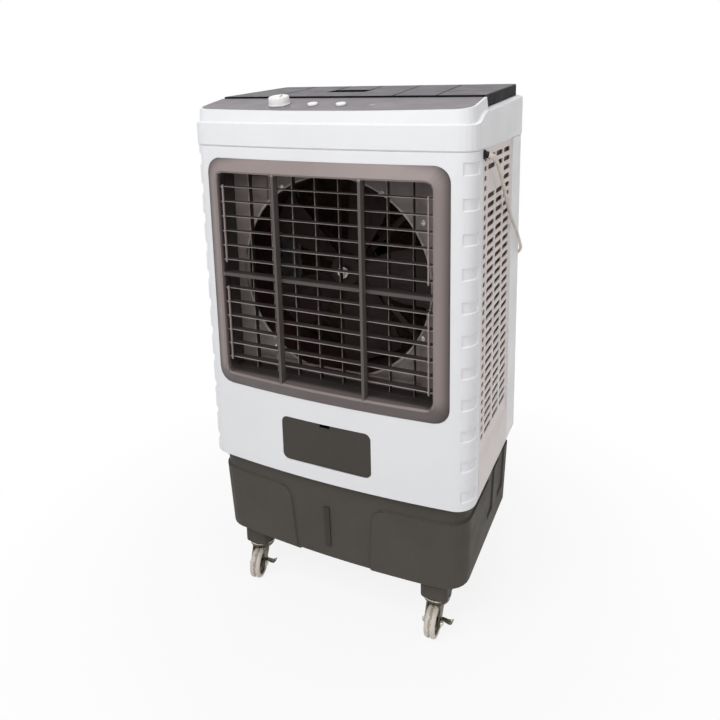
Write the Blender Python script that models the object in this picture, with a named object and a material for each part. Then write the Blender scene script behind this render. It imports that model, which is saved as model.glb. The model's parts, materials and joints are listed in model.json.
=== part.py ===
"""Portable evaporative cooler on casters, modelled as separate solids in metres, +Z up.

The origin is on the floor under the middle of the cabinet. The front looks along -Y.
"""
import math

import bmesh
import bpy
from mathutils import Matrix, Vector

for old_object in list(bpy.data.objects):
    bpy.data.objects.remove(old_object, do_unlink=True)

# Overall sizes
WIDTH = 0.623
DEPTH = 0.4267
HEIGHT = 1.151
BOW = 0.0192
CORNER_R = 0.045
REAR_R = 0.012
BODY_INSET = 0.0018
WALL = 0.0035
GAP = 0.0003
HALF_W = WIDTH / 2
FACE_HALF = HALF_W - 0.060
REAR_Y = DEPTH / 2

# Levels above the floor
WHEEL_R = 0.0325
BOSS_ABOVE_WHEEL = 0.019
BOSS_HEIGHT = 0.036
TANK_HEIGHT = 0.207
BOSS_Z = 2 * WHEEL_R + BOSS_ABOVE_WHEEL
TANK_Z = BOSS_Z + BOSS_HEIGHT
BODY_Z = TANK_Z + TANK_HEIGHT
CROWN_Z = HEIGHT - 0.113
STEP_Z = HEIGHT - 0.0655
RIM_Z = HEIGHT - 0.0405

# Louvre bezel and the opening inside it
LIP_RISE = 0.011
OPEN_MARGIN = 0.0735
FLANK = 0.029
FLANK_LOW = 0.0315
BLADE_PITCH = 0.0316
BLADES_PER_GROUP = 6
BEZEL_BELOW_CROWN = 0.0245
BEZEL_R = 0.032
OPEN_R = 0.016
BAR_X = 0.0956
BAR_SINK = 0.0012
BAR_WIDTH = 0.006
RAIL_HEIGHT = 0.007
OPEN_HALF = HALF_W - OPEN_MARGIN
BEZEL_HALF = OPEN_HALF + FLANK
OPEN_H = BLADE_PITCH * (2 * BLADES_PER_GROUP + 2)
OPEN_HIGH = CROWN_Z - BEZEL_BELOW_CROWN - FLANK
OPEN_LOW = OPEN_HIGH - OPEN_H
MID_Z = (OPEN_HIGH + OPEN_LOW) / 2
FRONT_Y = LIP_RISE - REAR_Y

# Depths of the air path, each behind the one before
BLADE_CHORD = 0.020
BLADE_Y = FRONT_Y + 0.021
BAR_Y = BLADE_Y - BLADE_CHORD / 2 - 0.002
JAMB_Y = BLADE_Y + 0.014
BOX_Y = JAMB_Y + GAP
VANE_CHORD = 0.016
VANE_Y = BOX_Y + 0.0125
PLATE_Y = VANE_Y + 0.0175
FAN_Y = PLATE_Y + 0.0700
COLLAR_Y = FAN_Y + 0.038
BLADE_THICK = 0.0024
PIN_R = 0.0015
PIN_HOLE_R = 0.0020
PIN_LENGTH = 0.0025
VANE_COUNT = 8
VANE_PITCH = 2 * OPEN_HALF / (VANE_COUNT + 1)
LINK_X = OPEN_HALF - 0.0105
LINK_SIZE = 0.0032
VANE_LINK_Z = OPEN_LOW + 0.022

# Fan, its ring and its motor
COLLAR_R = 0.213
FAN_TIP_GAP = 0.008
HUB_R = 0.036
HUB_LENGTH = 0.034
HUB_NOSE = 0.004
SHAFT_R = 0.006
SPIDER_R = 0.055
MOTOR_R = 0.052
MOTOR_LENGTH = 0.097
FAN_BLADES = 5
SHROUD_WALL = 0.003
SPIDER_HOLE_R = 0.020
SPIDER_THICK = 0.006
ARM_HALF = 0.006

# Top: control panel, lid and controls
RIM_INSET = 0.009
RIM_WIDTH = 0.0045
LID_FRONT_Y = -0.0775
LID_INSET = 0.013
LID_REAR_INSET = 0.015
LID_WALL = 0.004
LID_H = 0.0245
LID_RISE = HEIGHT - RIM_Z - LID_H
TOP_SLOPE = LID_RISE / (REAR_Y - LID_REAR_INSET - LID_FRONT_Y)
SCOOP_X = -0.045
SCOOP_HALF = 0.048
SCOOP_Y = (0.020, 0.080)
SCOOP_DEPTH = 0.011
SCOOP_WALL = 0.011
PANEL_THICK = 0.003
PANEL_RISE = 0.0215
PANEL_Y0 = FRONT_Y + RIM_INSET
PANEL_SLOPE = PANEL_RISE / (LID_FRONT_Y - PANEL_Y0)
PANEL_TILT = math.atan(PANEL_SLOPE)
CONTROL_Y = -0.140
CONTROL_PITCH = 0.077
BUTTON_PITCH = 0.0635
KNOB_X = -0.112
KNOB_R = 0.0225
KNOB_H = 0.018
KNOB_STEM_R = 0.0070
BUTTON_R = 0.0105
BUTTON_H = 0.0045
CONTROL_CLEARANCE = 0.0004

# Fill door
DOOR_HALF = 0.1047
DOOR_HEIGHT = 0.1002
DOOR_BELOW_BEZEL = 0.0488
DOOR_R = 0.014
DOOR_THICK = 0.0035
DOOR_CLEARANCE = 0.0006
NOTCH_HALF = 0.012
NOTCH_DEPTH = 0.008
BEZEL_LOW = OPEN_LOW - FLANK_LOW
DOOR_TOP = BEZEL_LOW - DOOR_BELOW_BEZEL
DOOR_LOW = DOOR_TOP - DOOR_HEIGHT

# Corner grip recesses
GRIP_COUNT = 11
GRIP_PITCH = 0.0651
GRIP_HEIGHT = 0.023
GRIP_DEPTH = 0.0022
GRIP_START = -60
GRIP_SWEEP = 56
GRIP_TOP = CROWN_Z - 0.019

# Side and rear panels with their pads
RETURN_Y = -0.127
POST_Y = 0.122
PANEL_SINK = 0.003
COVER_THICK = 0.004
SLOT_ROWS = 31
SLOT_PITCH = 0.0190
SLOT_HEIGHT = 0.008
SLOT_LOW = BODY_Z + 0.117
SIDE_SLOT_FRONT = 0.025
SIDE_SLOT_REAR = 0.020
REAR_SLOT_HALF = HALF_W - 0.070
SLOT_WEB = 0.012
PAD_THICK = 0.024
PAD_MARGIN = 0.012
TRAY_THICK = 0.016
TRAY_STRIP = 0.030
TRAY_FRONT_Y = -0.090
TRAY_REAR_Y = 0.070

# Water tank
TANK_R = 0.050
TANK_RIM_INSET = 0.009
TANK_TOP_INSET = 0.012
TANK_LOW_INSET = 0.020
TANK_WALL = 0.004
TANK_FLOOR = 0.004
TANK_HEM = 0.012
TANK_RIM_H = 0.010
SKIRT_TOP = BODY_Z - 0.044
SKIRT_RISE = 0.004
SKIRT_R = 0.026
CHANNEL_HALF = 0.088
CHANNEL_FLARE = 0.065
RIB_LOW = BODY_Z - 0.147
RIB_YS = ((0.010, 0.062), (0.104, 0.160))
EDGE_RUN = 0.002
GAUGE_X = -0.009
GAUGE_HALF = 0.006
GAUGE_LOW = BODY_Z - 0.166
GAUGE_HIGH = BODY_Z - 0.070
GAUGE_THICK = 0.003
PUMP_X = 0.130
PUMP_Y = 0.095
PUMP_R = 0.034
PUMP_H = 0.070
NIPPLE_R = 0.006
NIPPLE_H = 0.018
RISER_R = 0.009

# Casters
CASTER_MARGIN_X = 0.089
CASTER_Y = 0.126
BOSS_HALF = 0.030
BOSS_R = 0.012
WHEEL_HALF = 0.0120
TRAIL = 0.030
FORK_GAP = 0.0015
FORK_THICK = 0.003
FORK_HALF = 0.013
AXLE_R = 0.0035
AXLE_CLEARANCE = 0.0004
STEM_R = 0.0055
STEM_LENGTH = 0.018
SWIVEL_R = 0.021
SWIVEL_THICK = 0.006
CASTER_TURNS = (12, 2, 24, 15)
LEVER_HALF = 0.008
LEVER_THICK = 0.002
LEVER_REACH = 0.028
LEVER_RISE = 0.016
LEVER_DROP = 0.007
CASTER_X = HALF_W - CASTER_MARGIN_X

# Mains lead
CORD_D = 0.007
GLAND_Y = -0.111
GLAND_Z = CROWN_Z - 0.0107
GLAND_DROP = math.radians(30)
FLANGE_R = 0.0093
FLANGE_THICK = 0.004
SLEEVE_R = 0.0066
SLEEVE_TIP_R = 0.0047
SLEEVE_BEND = 0.0095
SLEEVE_TURN = math.radians(80)
SLEEVE_TAIL = 0.014
HOOK_X = HALF_W - 0.050
HOOK_Z = GLAND_Z - 0.296
COIL_CENTRE = (HOOK_X - 0.180, REAR_Y + 0.0295)
COIL_MEAN_R = 5.5 * CORD_D
COIL_PITCH = CORD_D + 0.0006
COIL_TURNS = 3.0
COIL_POINTS = 24
HOOK_HALF = 0.009
HOOK_THICK = 0.006
HOOK_REACH = 0.0145
HOOK_LIP = 0.010
HOOK_LIP_THICK = 0.0025
SIDE_RUN = ((0.0140, 0.162, 0.0395), (0.0128, 0.268, 0.0700), (0.0110, 0.399, 0.1090), (0.0095, 0.545, 0.1490),
            (0.0080, 0.684, 0.1800), (0.0070, 0.795, 0.2050), (0.0063, 0.880, 0.2290), (0.0060, 0.940, 0.2465))
HOOK_RUN = ((0.0522, -0.0054, 0.0330), (0.0420, 0.0048, 0.0220), (0.0280, 0.0086, 0.0125), (0.0140, 0.0084, 0.0045),
            (0.0, 0.0080, 0.0), (-0.0140, 0.0080, -0.0004), (-0.0290, 0.0084, -0.0046), (-0.0400, 0.0090, -0.0155),
            (-0.0443, 0.0098, -0.0310))
DROP_RUN = ((-0.0447, 0.0106, 0.935), (-0.0452, 0.0120, 0.800), (-0.0457, 0.0135, 0.610), (-0.0462, 0.0150, 0.405),
            (-0.0467, 0.0160, 0.200), (-0.0470, 0.0167, 0.085), (-0.0473, 0.0172, 0.0475), (-0.0508, 0.0198, 0.0237),
            (-0.0610, 0.0275, 0.0064), (-0.0750, 0.0380, 0.0), (-0.0890, 0.0500, 0.0), (-0.1120, 0.0690, 0.0))
PLUG_R = 0.0120
PLUG_LEAD = 0.026

CORNER_STEPS = 6
REAR_STEPS = 4
HOLE_SIDES = 6


def material(name, colour, roughness, metallic=0.0):
    """Principled material with one plain finish."""
    made = bpy.data.materials.new(name)
    made.use_nodes = True
    shader = made.node_tree.nodes["Principled BSDF"]
    shader.inputs["Base Color"].default_value = (*colour, 1.0)
    shader.inputs["Roughness"].default_value = roughness
    shader.inputs["Metallic"].default_value = metallic
    return made


WHITE = material("white_shell", (0.82, 0.83, 0.84), 0.35)
TAUPE = material("taupe_frame", (0.28, 0.25, 0.24), 0.45)
CHARCOAL = material("charcoal_tank", (0.075, 0.070, 0.062), 0.55)
LID_GREY = material("lid_grey", (0.22, 0.20, 0.20), 0.30)
COVER = material("cover_ivory", (0.62, 0.58, 0.55), 0.50)
PAPER = material("pad_paper", (0.16, 0.10, 0.06), 0.90)
BLACK = material("black_plastic", (0.015, 0.015, 0.016), 0.45)
KNOB_WHITE = material("knob_white", (0.85, 0.85, 0.84), 0.30)
STEEL = material("zinc_steel", (0.45, 0.43, 0.38), 0.35, 1.0)
MOTOR_STEEL = material("motor_steel", (0.20, 0.20, 0.21), 0.40, 1.0)
WHEEL_GREY = material("wheel_grey", (0.62, 0.60, 0.56), 0.45)
PIPE_CLEAR = material("pipe_plastic", (0.55, 0.55, 0.52), 0.40)
GAUGE = material("gauge_plastic", (0.03, 0.03, 0.03), 0.25)
LEAD_WHITE = material("lead_white", (0.72, 0.68, 0.62), 0.50)


def front_y(x):
    """Depth of the bowed front at a given x."""
    return FRONT_Y + BOW * (x / HALF_W) ** 2


def panel_z(y):
    """Height of the sloped control panel at a given depth."""
    return RIM_Z - GAP + PANEL_SLOPE * (y - PANEL_Y0)


def rim_height(y):
    """Height of the rim that carries the lid, rising to the rear."""
    return RIM_Z + TOP_SLOPE * (y - LID_FRONT_Y)


def smooth(t):
    """Ease from 0 to 1 with level ends."""
    t = min(max(t, 0.0), 1.0)
    return t * t * (3 - 2 * t)


def add_object(name, mesh, mat):
    """Put a finished mesh in the scene with its material."""
    mesh.materials.clear()
    mesh.materials.append(mat)
    made = bpy.data.objects.new(name, mesh)
    bpy.context.collection.objects.link(made)
    return made


def mesh_from(bm, name):
    """Turn a working mesh into data with its faces pointing out and smooth round sides."""
    bmesh.ops.recalc_face_normals(bm, faces=bm.faces)
    mesh = bpy.data.meshes.new(name)
    bm.to_mesh(mesh)
    bm.free()
    mesh.shade_smooth()
    mesh.set_sharp_from_angle(angle=math.radians(35))
    return mesh


def skin(bm, rings, closed=False):
    """Skin a row of equal rings. An open row gets end caps."""
    loops = [[bm.verts.new(point) for point in ring] for ring in rings]
    count = len(loops[0])
    pairs = list(zip(loops, loops[1:]))
    if closed:
        pairs.append((loops[-1], loops[0]))
    for low, high in pairs:
        for i in range(count):
            j = (i + 1) % count
            bm.faces.new((low[i], low[j], high[j], high[i]))
    if not closed:
        bm.faces.new(list(reversed(loops[0])))
        bm.faces.new(loops[-1])


def loft(name, rings, mat, closed=False):
    """One solid skinned over rings."""
    bm = bmesh.new()
    skin(bm, rings, closed)
    return add_object(name, mesh_from(bm, name), mat)


def prism_rings(outline, axis, start, end):
    """Two rings of a flat outline pushed along an axis."""
    order = {"x": lambda a, b, c: (c, a, b), "y": lambda a, b, c: (a, c, b), "z": lambda a, b, c: (a, b, c)}
    place = order[axis]
    return [[place(a, b, level) for a, b in outline] for level in (start, end)]


def prism(name, outline, axis, start, end, mat):
    """Solid of a flat outline pushed along an axis."""
    return loft(name, prism_rings(outline, axis, start, end), mat)


def prisms(name, outlines, axis, start, end, mat):
    """Several separate prisms in one mesh, for cutting."""
    bm = bmesh.new()
    for outline in outlines:
        skin(bm, prism_rings(outline, axis, start, end))
    return add_object(name, mesh_from(bm, name), mat)


def box_outline(a0, a1, b0, b1):
    """Four corners of a rectangle."""
    return [(a0, b0), (a1, b0), (a1, b1), (a0, b1)]


def round_outline(a0, a1, b0, b1, radius, steps=5):
    """Rectangle with round corners."""
    centres = ((a1 - radius, b0 + radius), (a1 - radius, b1 - radius),
               (a0 + radius, b1 - radius), (a0 + radius, b0 + radius))
    points = []
    for corner, (ca, cb) in enumerate(centres):
        for step in range(steps + 1):
            t = math.pi / 2 * (corner - 1 + step / steps)
            points.append((ca + radius * math.cos(t), cb + radius * math.sin(t)))
    return points


def circle(radius, sides, centre=(0.0, 0.0)):
    """Flat circle as a polygon."""
    angles = [2 * math.pi * i / sides for i in range(sides)]
    return [(centre[0] + radius * math.cos(t), centre[1] + radius * math.sin(t)) for t in angles]


def turned_rings(profile, sides, axis="z"):
    """Circles of a (radius, height) profile about an axis."""
    rings = []
    for radius, height in profile:
        rings.append(prism_rings(circle(radius, sides), axis, height, height)[0])
    return rings


def turned(name, profile, sides, mat, axis="z", closed=False):
    """Solid turned about an axis."""
    return loft(name, turned_rings(profile, sides, axis), mat, closed)


def shift(obj, matrix):
    """Bake a move into an object's mesh."""
    obj.data.transform(matrix)
    return obj


def combine(obj, tools, operation):
    """Apply Boolean steps to an object and remove the tools."""
    for tool in tools:
        step = obj.modifiers.new(tool.name, "BOOLEAN")
        step.operation = operation
        step.solver = "EXACT"
        step.object = tool
    depsgraph = bpy.context.evaluated_depsgraph_get()
    result = bpy.data.meshes.new_from_object(obj.evaluated_get(depsgraph))
    bm = bmesh.new()
    bm.from_mesh(result)
    bmesh.ops.remove_doubles(bm, verts=bm.verts, dist=1e-6)
    mat = obj.data.materials[0]
    obj.modifiers.clear()
    obj.data = mesh_from(bm, obj.name)
    obj.data.materials.append(mat)
    for tool in tools:
        bpy.data.objects.remove(tool, do_unlink=True)
    return obj


def copy_of(name, source, matrix, mat):
    """Another piece of the same mesh at its own place."""
    made = bpy.data.objects.new(name, source.data)
    made.matrix_world = matrix
    bpy.context.collection.objects.link(made)
    made.data.materials[0] = mat
    return made


def corner_lean(half, radius):
    """Lean of the bowed front where it runs into the corner arc."""
    lean = 0.0
    for _ in range(4):
        x = half - radius + radius * math.sin(lean)
        lean = math.atan(2 * BOW * x / HALF_W ** 2)
    return lean


def corner_centre(inset, radius):
    """Centre of the front right corner arc."""
    half = HALF_W - inset
    lean = corner_lean(half, radius)
    join_x = half - radius + radius * math.sin(lean)
    return half - radius, front_y(join_x) + inset + radius * math.cos(lean)


def right_path(inset, radius, xs, ys):
    """Right half of the outline, from the middle of the front to the end of the side."""
    half = HALF_W - inset
    lean = corner_lean(half, radius)
    cx, cy = corner_centre(inset, radius)
    points = [(x, front_y(x) + inset) for x in xs]
    for step in range(CORNER_STEPS + 1):
        t = -math.pi / 2 + lean + (math.pi / 2 - lean) * step / CORNER_STEPS
        points.append((cx + radius * math.cos(t), cy + radius * math.sin(t)))
    points += [(half, y) for y in ys]
    return points


def mirrored(points):
    """The left half of a right path, in running order."""
    return [(-x, y) for x, y in reversed(points) if x > 0]


def full_outline(inset, radius, xs, ys, rear_radius):
    """Whole outline seen from above."""
    right = right_path(inset, radius, xs, ys)
    half = HALF_W - inset
    rear = REAR_Y - inset
    for step in range(REAR_STEPS + 1):
        t = math.pi / 2 * step / REAR_STEPS
        x = half - rear_radius + rear_radius * math.cos(t)
        y = rear - rear_radius + rear_radius * math.sin(t)
        right.append((x, y))
    return right + mirrored(right)


def spread(limit, count):
    """Even steps from the middle towards a limit."""
    return [limit * i / count for i in range(count)]


def tank_inset(z):
    """Draft of the tank wall at a height."""
    share = (z - TANK_Z) / (BODY_Z - TANK_RIM_H - TANK_Z)
    return TANK_LOW_INSET + (TANK_TOP_INSET - TANK_LOW_INSET) * share


def tank_front(x, z):
    """Depth of the tank's sunk front channel."""
    return front_y(x) + tank_inset(z) + SKIRT_RISE


def tank_outline(z, inset, channel):
    """Tank outline at a height, broken where the channel and the side ribs begin."""
    xs = spread(channel, 3) + [channel, channel + EDGE_RUN, HALF_W - 0.140, HALF_W - 0.105]
    ys = [y for low, high in RIB_YS for y in (low, low + EDGE_RUN, high - EDGE_RUN, high)]
    return [(x, y, z) for x, y in full_outline(inset, TANK_R, xs, ys, REAR_R)]


def skirt_ring(z, inset, corner=0.0):
    """Raised skirt with its sunk front channel, widened by a round corner, and its side ribs."""
    channel = CHANNEL_HALF + CHANNEL_FLARE * (z - TANK_Z) + SKIRT_R * (1 - math.cos(corner))
    half = HALF_W - inset
    sunk_ys = [y for low, high in RIB_YS for y in (low + EDGE_RUN, high - EDGE_RUN)]
    ring = []
    for x, y, z in tank_outline(z, inset, channel):
        if y < RETURN_Y and abs(x) < channel + EDGE_RUN / 2:
            y += SKIRT_RISE
        if z > RIB_LOW and abs(abs(x) - half) < 1e-6 and y in sunk_ys:
            x -= math.copysign(SKIRT_RISE, x)
        ring.append((x, y, z))
    return ring


def water_tank():
    """Open tank with a raised skirt, a rim under the shell, and bosses for the caster stems."""
    top = BODY_Z - GAP
    outer = [skirt_ring(TANK_Z, TANK_LOW_INSET + TANK_HEM)]
    outer += [skirt_ring(z, tank_inset(z)) for z in (TANK_Z + TANK_HEM, RIB_LOW, RIB_LOW + EDGE_RUN)]
    for turn in (0, 30, 60, 90):
        z = SKIRT_TOP - SKIRT_R * (1 - math.sin(math.radians(turn)))
        outer.append(skirt_ring(z, tank_inset(z), math.radians(turn)))
    channel = CHANNEL_HALF + SKIRT_R
    for z in (SKIRT_TOP + EDGE_RUN, BODY_Z - TANK_RIM_H):
        outer.append(tank_outline(z, tank_inset(z) + SKIRT_RISE, channel))
    for z in (BODY_Z - TANK_RIM_H + EDGE_RUN, top):
        outer.append(tank_outline(z, TANK_RIM_INSET, channel))
    thick = SKIRT_RISE + TANK_WALL
    inner = [tank_outline(top, TANK_TOP_INSET + thick, channel),
             tank_outline(TANK_Z + TANK_FLOOR, TANK_LOW_INSET + TANK_HEM + thick, channel)]
    tank = loft("water_tank", outer + inner, CHARCOAL)
    bosses = []
    sockets = []
    for sx in (-1, 1):
        for sy in (-1, 1):
            x = sx * CASTER_X
            y = sy * CASTER_Y
            block = round_outline(x - BOSS_HALF, x + BOSS_HALF, y - BOSS_HALF, y + BOSS_HALF, BOSS_R)
            bosses.append(prism("boss", block, "z", BOSS_Z, TANK_Z + TANK_FLOOR / 2, CHARCOAL))
            sockets.append(circle(STEM_R + AXLE_CLEARANCE, HOLE_SIDES * 2, (x, y)))
    combine(tank, bosses, "UNION")
    socket_top = BOSS_Z + STEM_LENGTH + GAP
    return combine(tank, [prisms("socket", sockets, "z", BOSS_Z - 0.01, socket_top, CHARCOAL)], "DIFFERENCE")


def level_window():
    """Sight strip lying on the tank's front channel."""
    rings = []
    for z in (GAUGE_LOW, GAUGE_HIGH):
        face = tank_front(GAUGE_X, z) - 2 * GAP
        rings.append([(x, y, z) for x, y in box_outline(GAUGE_X - GAUGE_HALF, GAUGE_X + GAUGE_HALF,
                                                        face - GAUGE_THICK, face)])
    return loft("level_window", rings, GAUGE)


def grip_cutters():
    """Arc blocks that sink the grip recesses into both front corners."""
    radius = CORNER_R - BODY_INSET
    cx, cy = corner_centre(BODY_INSET, radius)
    steps = 3
    angles = [math.radians(GRIP_START + GRIP_SWEEP * i / steps) for i in range(steps + 1)]
    deep = [(cx + (radius - GRIP_DEPTH) * math.cos(t), cy + (radius - GRIP_DEPTH) * math.sin(t)) for t in angles]
    out = [(cx + 1.3 * radius * math.cos(t), cy + 1.3 * radius * math.sin(t)) for t in reversed(angles)]
    sector = deep + out
    bm = bmesh.new()
    for row in range(GRIP_COUNT):
        top = GRIP_TOP - row * GRIP_PITCH
        for side in (1, -1):
            outline = [(side * x, y) for x, y in sector]
            skin(bm, prism_rings(outline, "z", top - GRIP_HEIGHT, top))
    return add_object("grips", mesh_from(bm, "grips"), WHITE)


def front_housing():
    """White front shell with its corner returns, louvre opening and door opening."""
    xs = spread(FACE_HALF, 8)
    outer = right_path(BODY_INSET, CORNER_R - BODY_INSET, xs, [RETURN_Y])
    inner = right_path(BODY_INSET + WALL, CORNER_R - BODY_INSET - WALL, xs, [RETURN_Y])
    outer = mirrored(outer) + outer
    inner = mirrored(inner) + inner
    shell = prism("front_housing", outer + list(reversed(inner)), "z", BODY_Z, CROWN_Z - GAP, WHITE)
    bezel_hole = round_outline(-BEZEL_HALF - GAP, BEZEL_HALF + GAP, BEZEL_LOW - GAP,
                               OPEN_HIGH + FLANK + GAP, BEZEL_R)
    door_hole = round_outline(-DOOR_HALF, DOOR_HALF, DOOR_LOW, DOOR_TOP, DOOR_R)
    openings = prisms("openings", [bezel_hole, door_hole], "y", -REAR_Y - 0.05, RETURN_Y, WHITE)
    return combine(shell, [openings, grip_cutters()], "DIFFERENCE")


def crown():
    """White top band whose brow carries the control panel and whose rim carries the lid."""
    xs = spread(FACE_HALF, 6)
    step_y = LID_FRONT_Y - 2 * GAP
    ys = [RETURN_Y, RETURN_Y + 0.022, step_y - GAP, step_y, 0.040, POST_Y]

    def ring(inset, height):
        radius = CORNER_R - inset
        points = full_outline(inset, radius, xs, ys, max(REAR_R - inset, 0.005))
        return [(x, y, height(y)) for x, y in points]

    def step_z(y):
        low = RIM_Z - 0.004 + TOP_SLOPE * max(y - LID_FRONT_Y, 0.0)
        return STEP_Z + (low - STEP_Z) * smooth((y + 0.165) / 0.060)

    def rim_z(y):
        return panel_z(y) if y < step_y - GAP / 2 else rim_height(y)

    inner_inset = RIM_INSET + RIM_WIDTH
    rings = [ring(0.003, lambda y: CROWN_Z),
             ring(0.0, lambda y: CROWN_Z + 0.003),
             ring(0.0, step_z),
             ring(0.006, lambda y: step_z(y) + 0.0025),
             ring(RIM_INSET, rim_z),
             ring(inner_inset, rim_z),
             ring(inner_inset, lambda y: CROWN_Z)]
    return loft("crown", rings, WHITE, closed=True)


def panel_frame(x):
    """Placement of a control on the sloped panel."""
    place = Matrix.Translation((x, CONTROL_Y, panel_z(CONTROL_Y)))
    return place @ Matrix.Rotation(PANEL_TILT, 4, "X")


def button_xs():
    """Places of the two push buttons beside the knob."""
    first = KNOB_X + CONTROL_PITCH
    return [first, first + BUTTON_PITCH]


def control_panel():
    """Sloped panel let into the crown's rim, with holes for the controls."""
    inset = RIM_INSET + RIM_WIDTH + GAP
    right = right_path(inset, CORNER_R - inset, spread(FACE_HALF, 6), [LID_FRONT_Y - 4 * GAP])
    path = mirrored(right) + right
    rings = [[(x, y, panel_z(y) - drop) for x, y in path] for drop in (PANEL_THICK, 0.0)]
    panel = loft("control_panel", rings, TAUPE)
    cutters = []
    for x, radius in [(KNOB_X, KNOB_STEM_R)] + [(x, BUTTON_R) for x in button_xs()]:
        hole = prism("hole", circle(radius + CONTROL_CLEARANCE, 24), "z", -0.02, 0.02, TAUPE)
        cutters.append(shift(hole, panel_frame(x)))
    return combine(panel, cutters, "DIFFERENCE")


def controls():
    """Speed knob and two push buttons, each with its origin on its own axis."""
    knob_profile = [(KNOB_STEM_R, -0.010), (KNOB_STEM_R, 2 * GAP), (KNOB_R, 2 * GAP), (KNOB_R, KNOB_H - 0.002),
                    (KNOB_R - 0.002, KNOB_H)]
    knob = turned("speed_knob", knob_profile, 24, KNOB_WHITE)
    knob.matrix_world = panel_frame(KNOB_X)
    button_profile = [(BUTTON_R, -0.008), (BUTTON_R, BUTTON_H - 0.0015), (BUTTON_R - 0.0015, BUTTON_H)]
    for number, x in enumerate(button_xs(), 1):
        button = turned(f"push_button_{number}", button_profile, 24, KNOB_WHITE)
        button.matrix_world = panel_frame(x)


def top_lid():
    """Hinged lid with a finger scoop, sloping with the crown's rim that it rests on."""
    low = RIM_Z + GAP
    top = RIM_Z + LID_H
    half = HALF_W - LID_INSET
    rear = REAR_Y - LID_REAR_INSET

    def ring(inset, z):
        outline = round_outline(-half + inset, half - inset, LID_FRONT_Y + inset, rear - inset, 0.008, 3)
        return [(x, y, z) for x, y in outline]

    rings = [ring(LID_WALL, top - LID_WALL), ring(LID_WALL, low), ring(0.0, low),
             ring(0.0, top - 0.0015), ring(0.0015, top)]
    lid = loft("top_lid", rings, LID_GREY)
    reach = SCOOP_HALF + SCOOP_WALL
    start, end = SCOOP_Y
    pocket = box_outline(SCOOP_X - reach, SCOOP_X + reach, start - SCOOP_WALL, end + SCOOP_WALL)
    block = prism("pocket", pocket, "z", RIM_Z + 0.006, top - 0.002, LID_GREY)
    combine(lid, [block], "UNION")
    deep = top - SCOOP_DEPTH
    wedge = [(start, top + 0.001), (end - 0.004, deep), (end, deep), (end, top + 0.001)]
    scoop = prism("scoop", wedge, "x", SCOOP_X - SCOOP_HALF, SCOOP_X + SCOOP_HALF, LID_GREY)
    combine(lid, [scoop], "DIFFERENCE")
    rise = Matrix.Identity(4)
    rise[2][1] = TOP_SLOPE
    rise[2][3] = -TOP_SLOPE * LID_FRONT_Y
    axis = Matrix.Translation((0.0, rear, rim_height(rear) + GAP))
    shift(lid, axis.inverted() @ rise)
    lid.matrix_world = axis


def fill_door():
    """Bowed door in the front housing, hinged along its lower edge."""
    low = DOOR_LOW + DOOR_CLEARANCE
    high = DOOR_TOP - DOOR_CLEARANCE
    half = DOOR_HALF - DOOR_CLEARANCE
    outline = round_outline(-half, half, low, high, DOOR_R - DOOR_CLEARANCE, 4)
    arc_end = len(outline) // 2 - 1
    notch = [(NOTCH_HALF, high), (NOTCH_HALF, high - NOTCH_DEPTH), (-NOTCH_HALF, high - NOTCH_DEPTH),
             (-NOTCH_HALF, high)]
    outline = outline[:arc_end + 1] + notch + outline[arc_end + 1:]
    face = BODY_INSET + 0.0005
    rings = [[(x, front_y(x) + face + depth, z) for x, z in outline] for depth in (0.0, DOOR_THICK)]
    door = loft("fill_door", rings, CHARCOAL)
    axis = Matrix.Translation((0.0, front_y(0.0) + face, low))
    shift(door, axis.inverted())
    door.matrix_world = axis


def frame_ring(half, low, high, radius, depth):
    """Loop round the louvre opening, its depth following the bow."""
    points = []
    across = 8
    for step in range(across + 1):
        points.append(((half - radius) * (2 * step / across - 1), low))
    rounded = round_outline(-half, half, low, high, radius, 4)
    arc = len(rounded) // 4
    points += rounded[1:arc] + rounded[arc:2 * arc - 1]
    for step in range(across + 1):
        points.append(((half - radius) * (1 - 2 * step / across), high))
    points += rounded[2 * arc + 1:3 * arc] + rounded[3 * arc:4 * arc - 1]
    return [(x, depth(x), z) for x, z in points]


def blade_heights():
    """Heights of the louvre blades, upper group first."""
    rows = [row for row in range(1, 2 * BLADES_PER_GROUP + 2) if row != BLADES_PER_GROUP + 1]
    return [OPEN_HIGH - BLADE_PITCH * row for row in rows]


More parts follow.
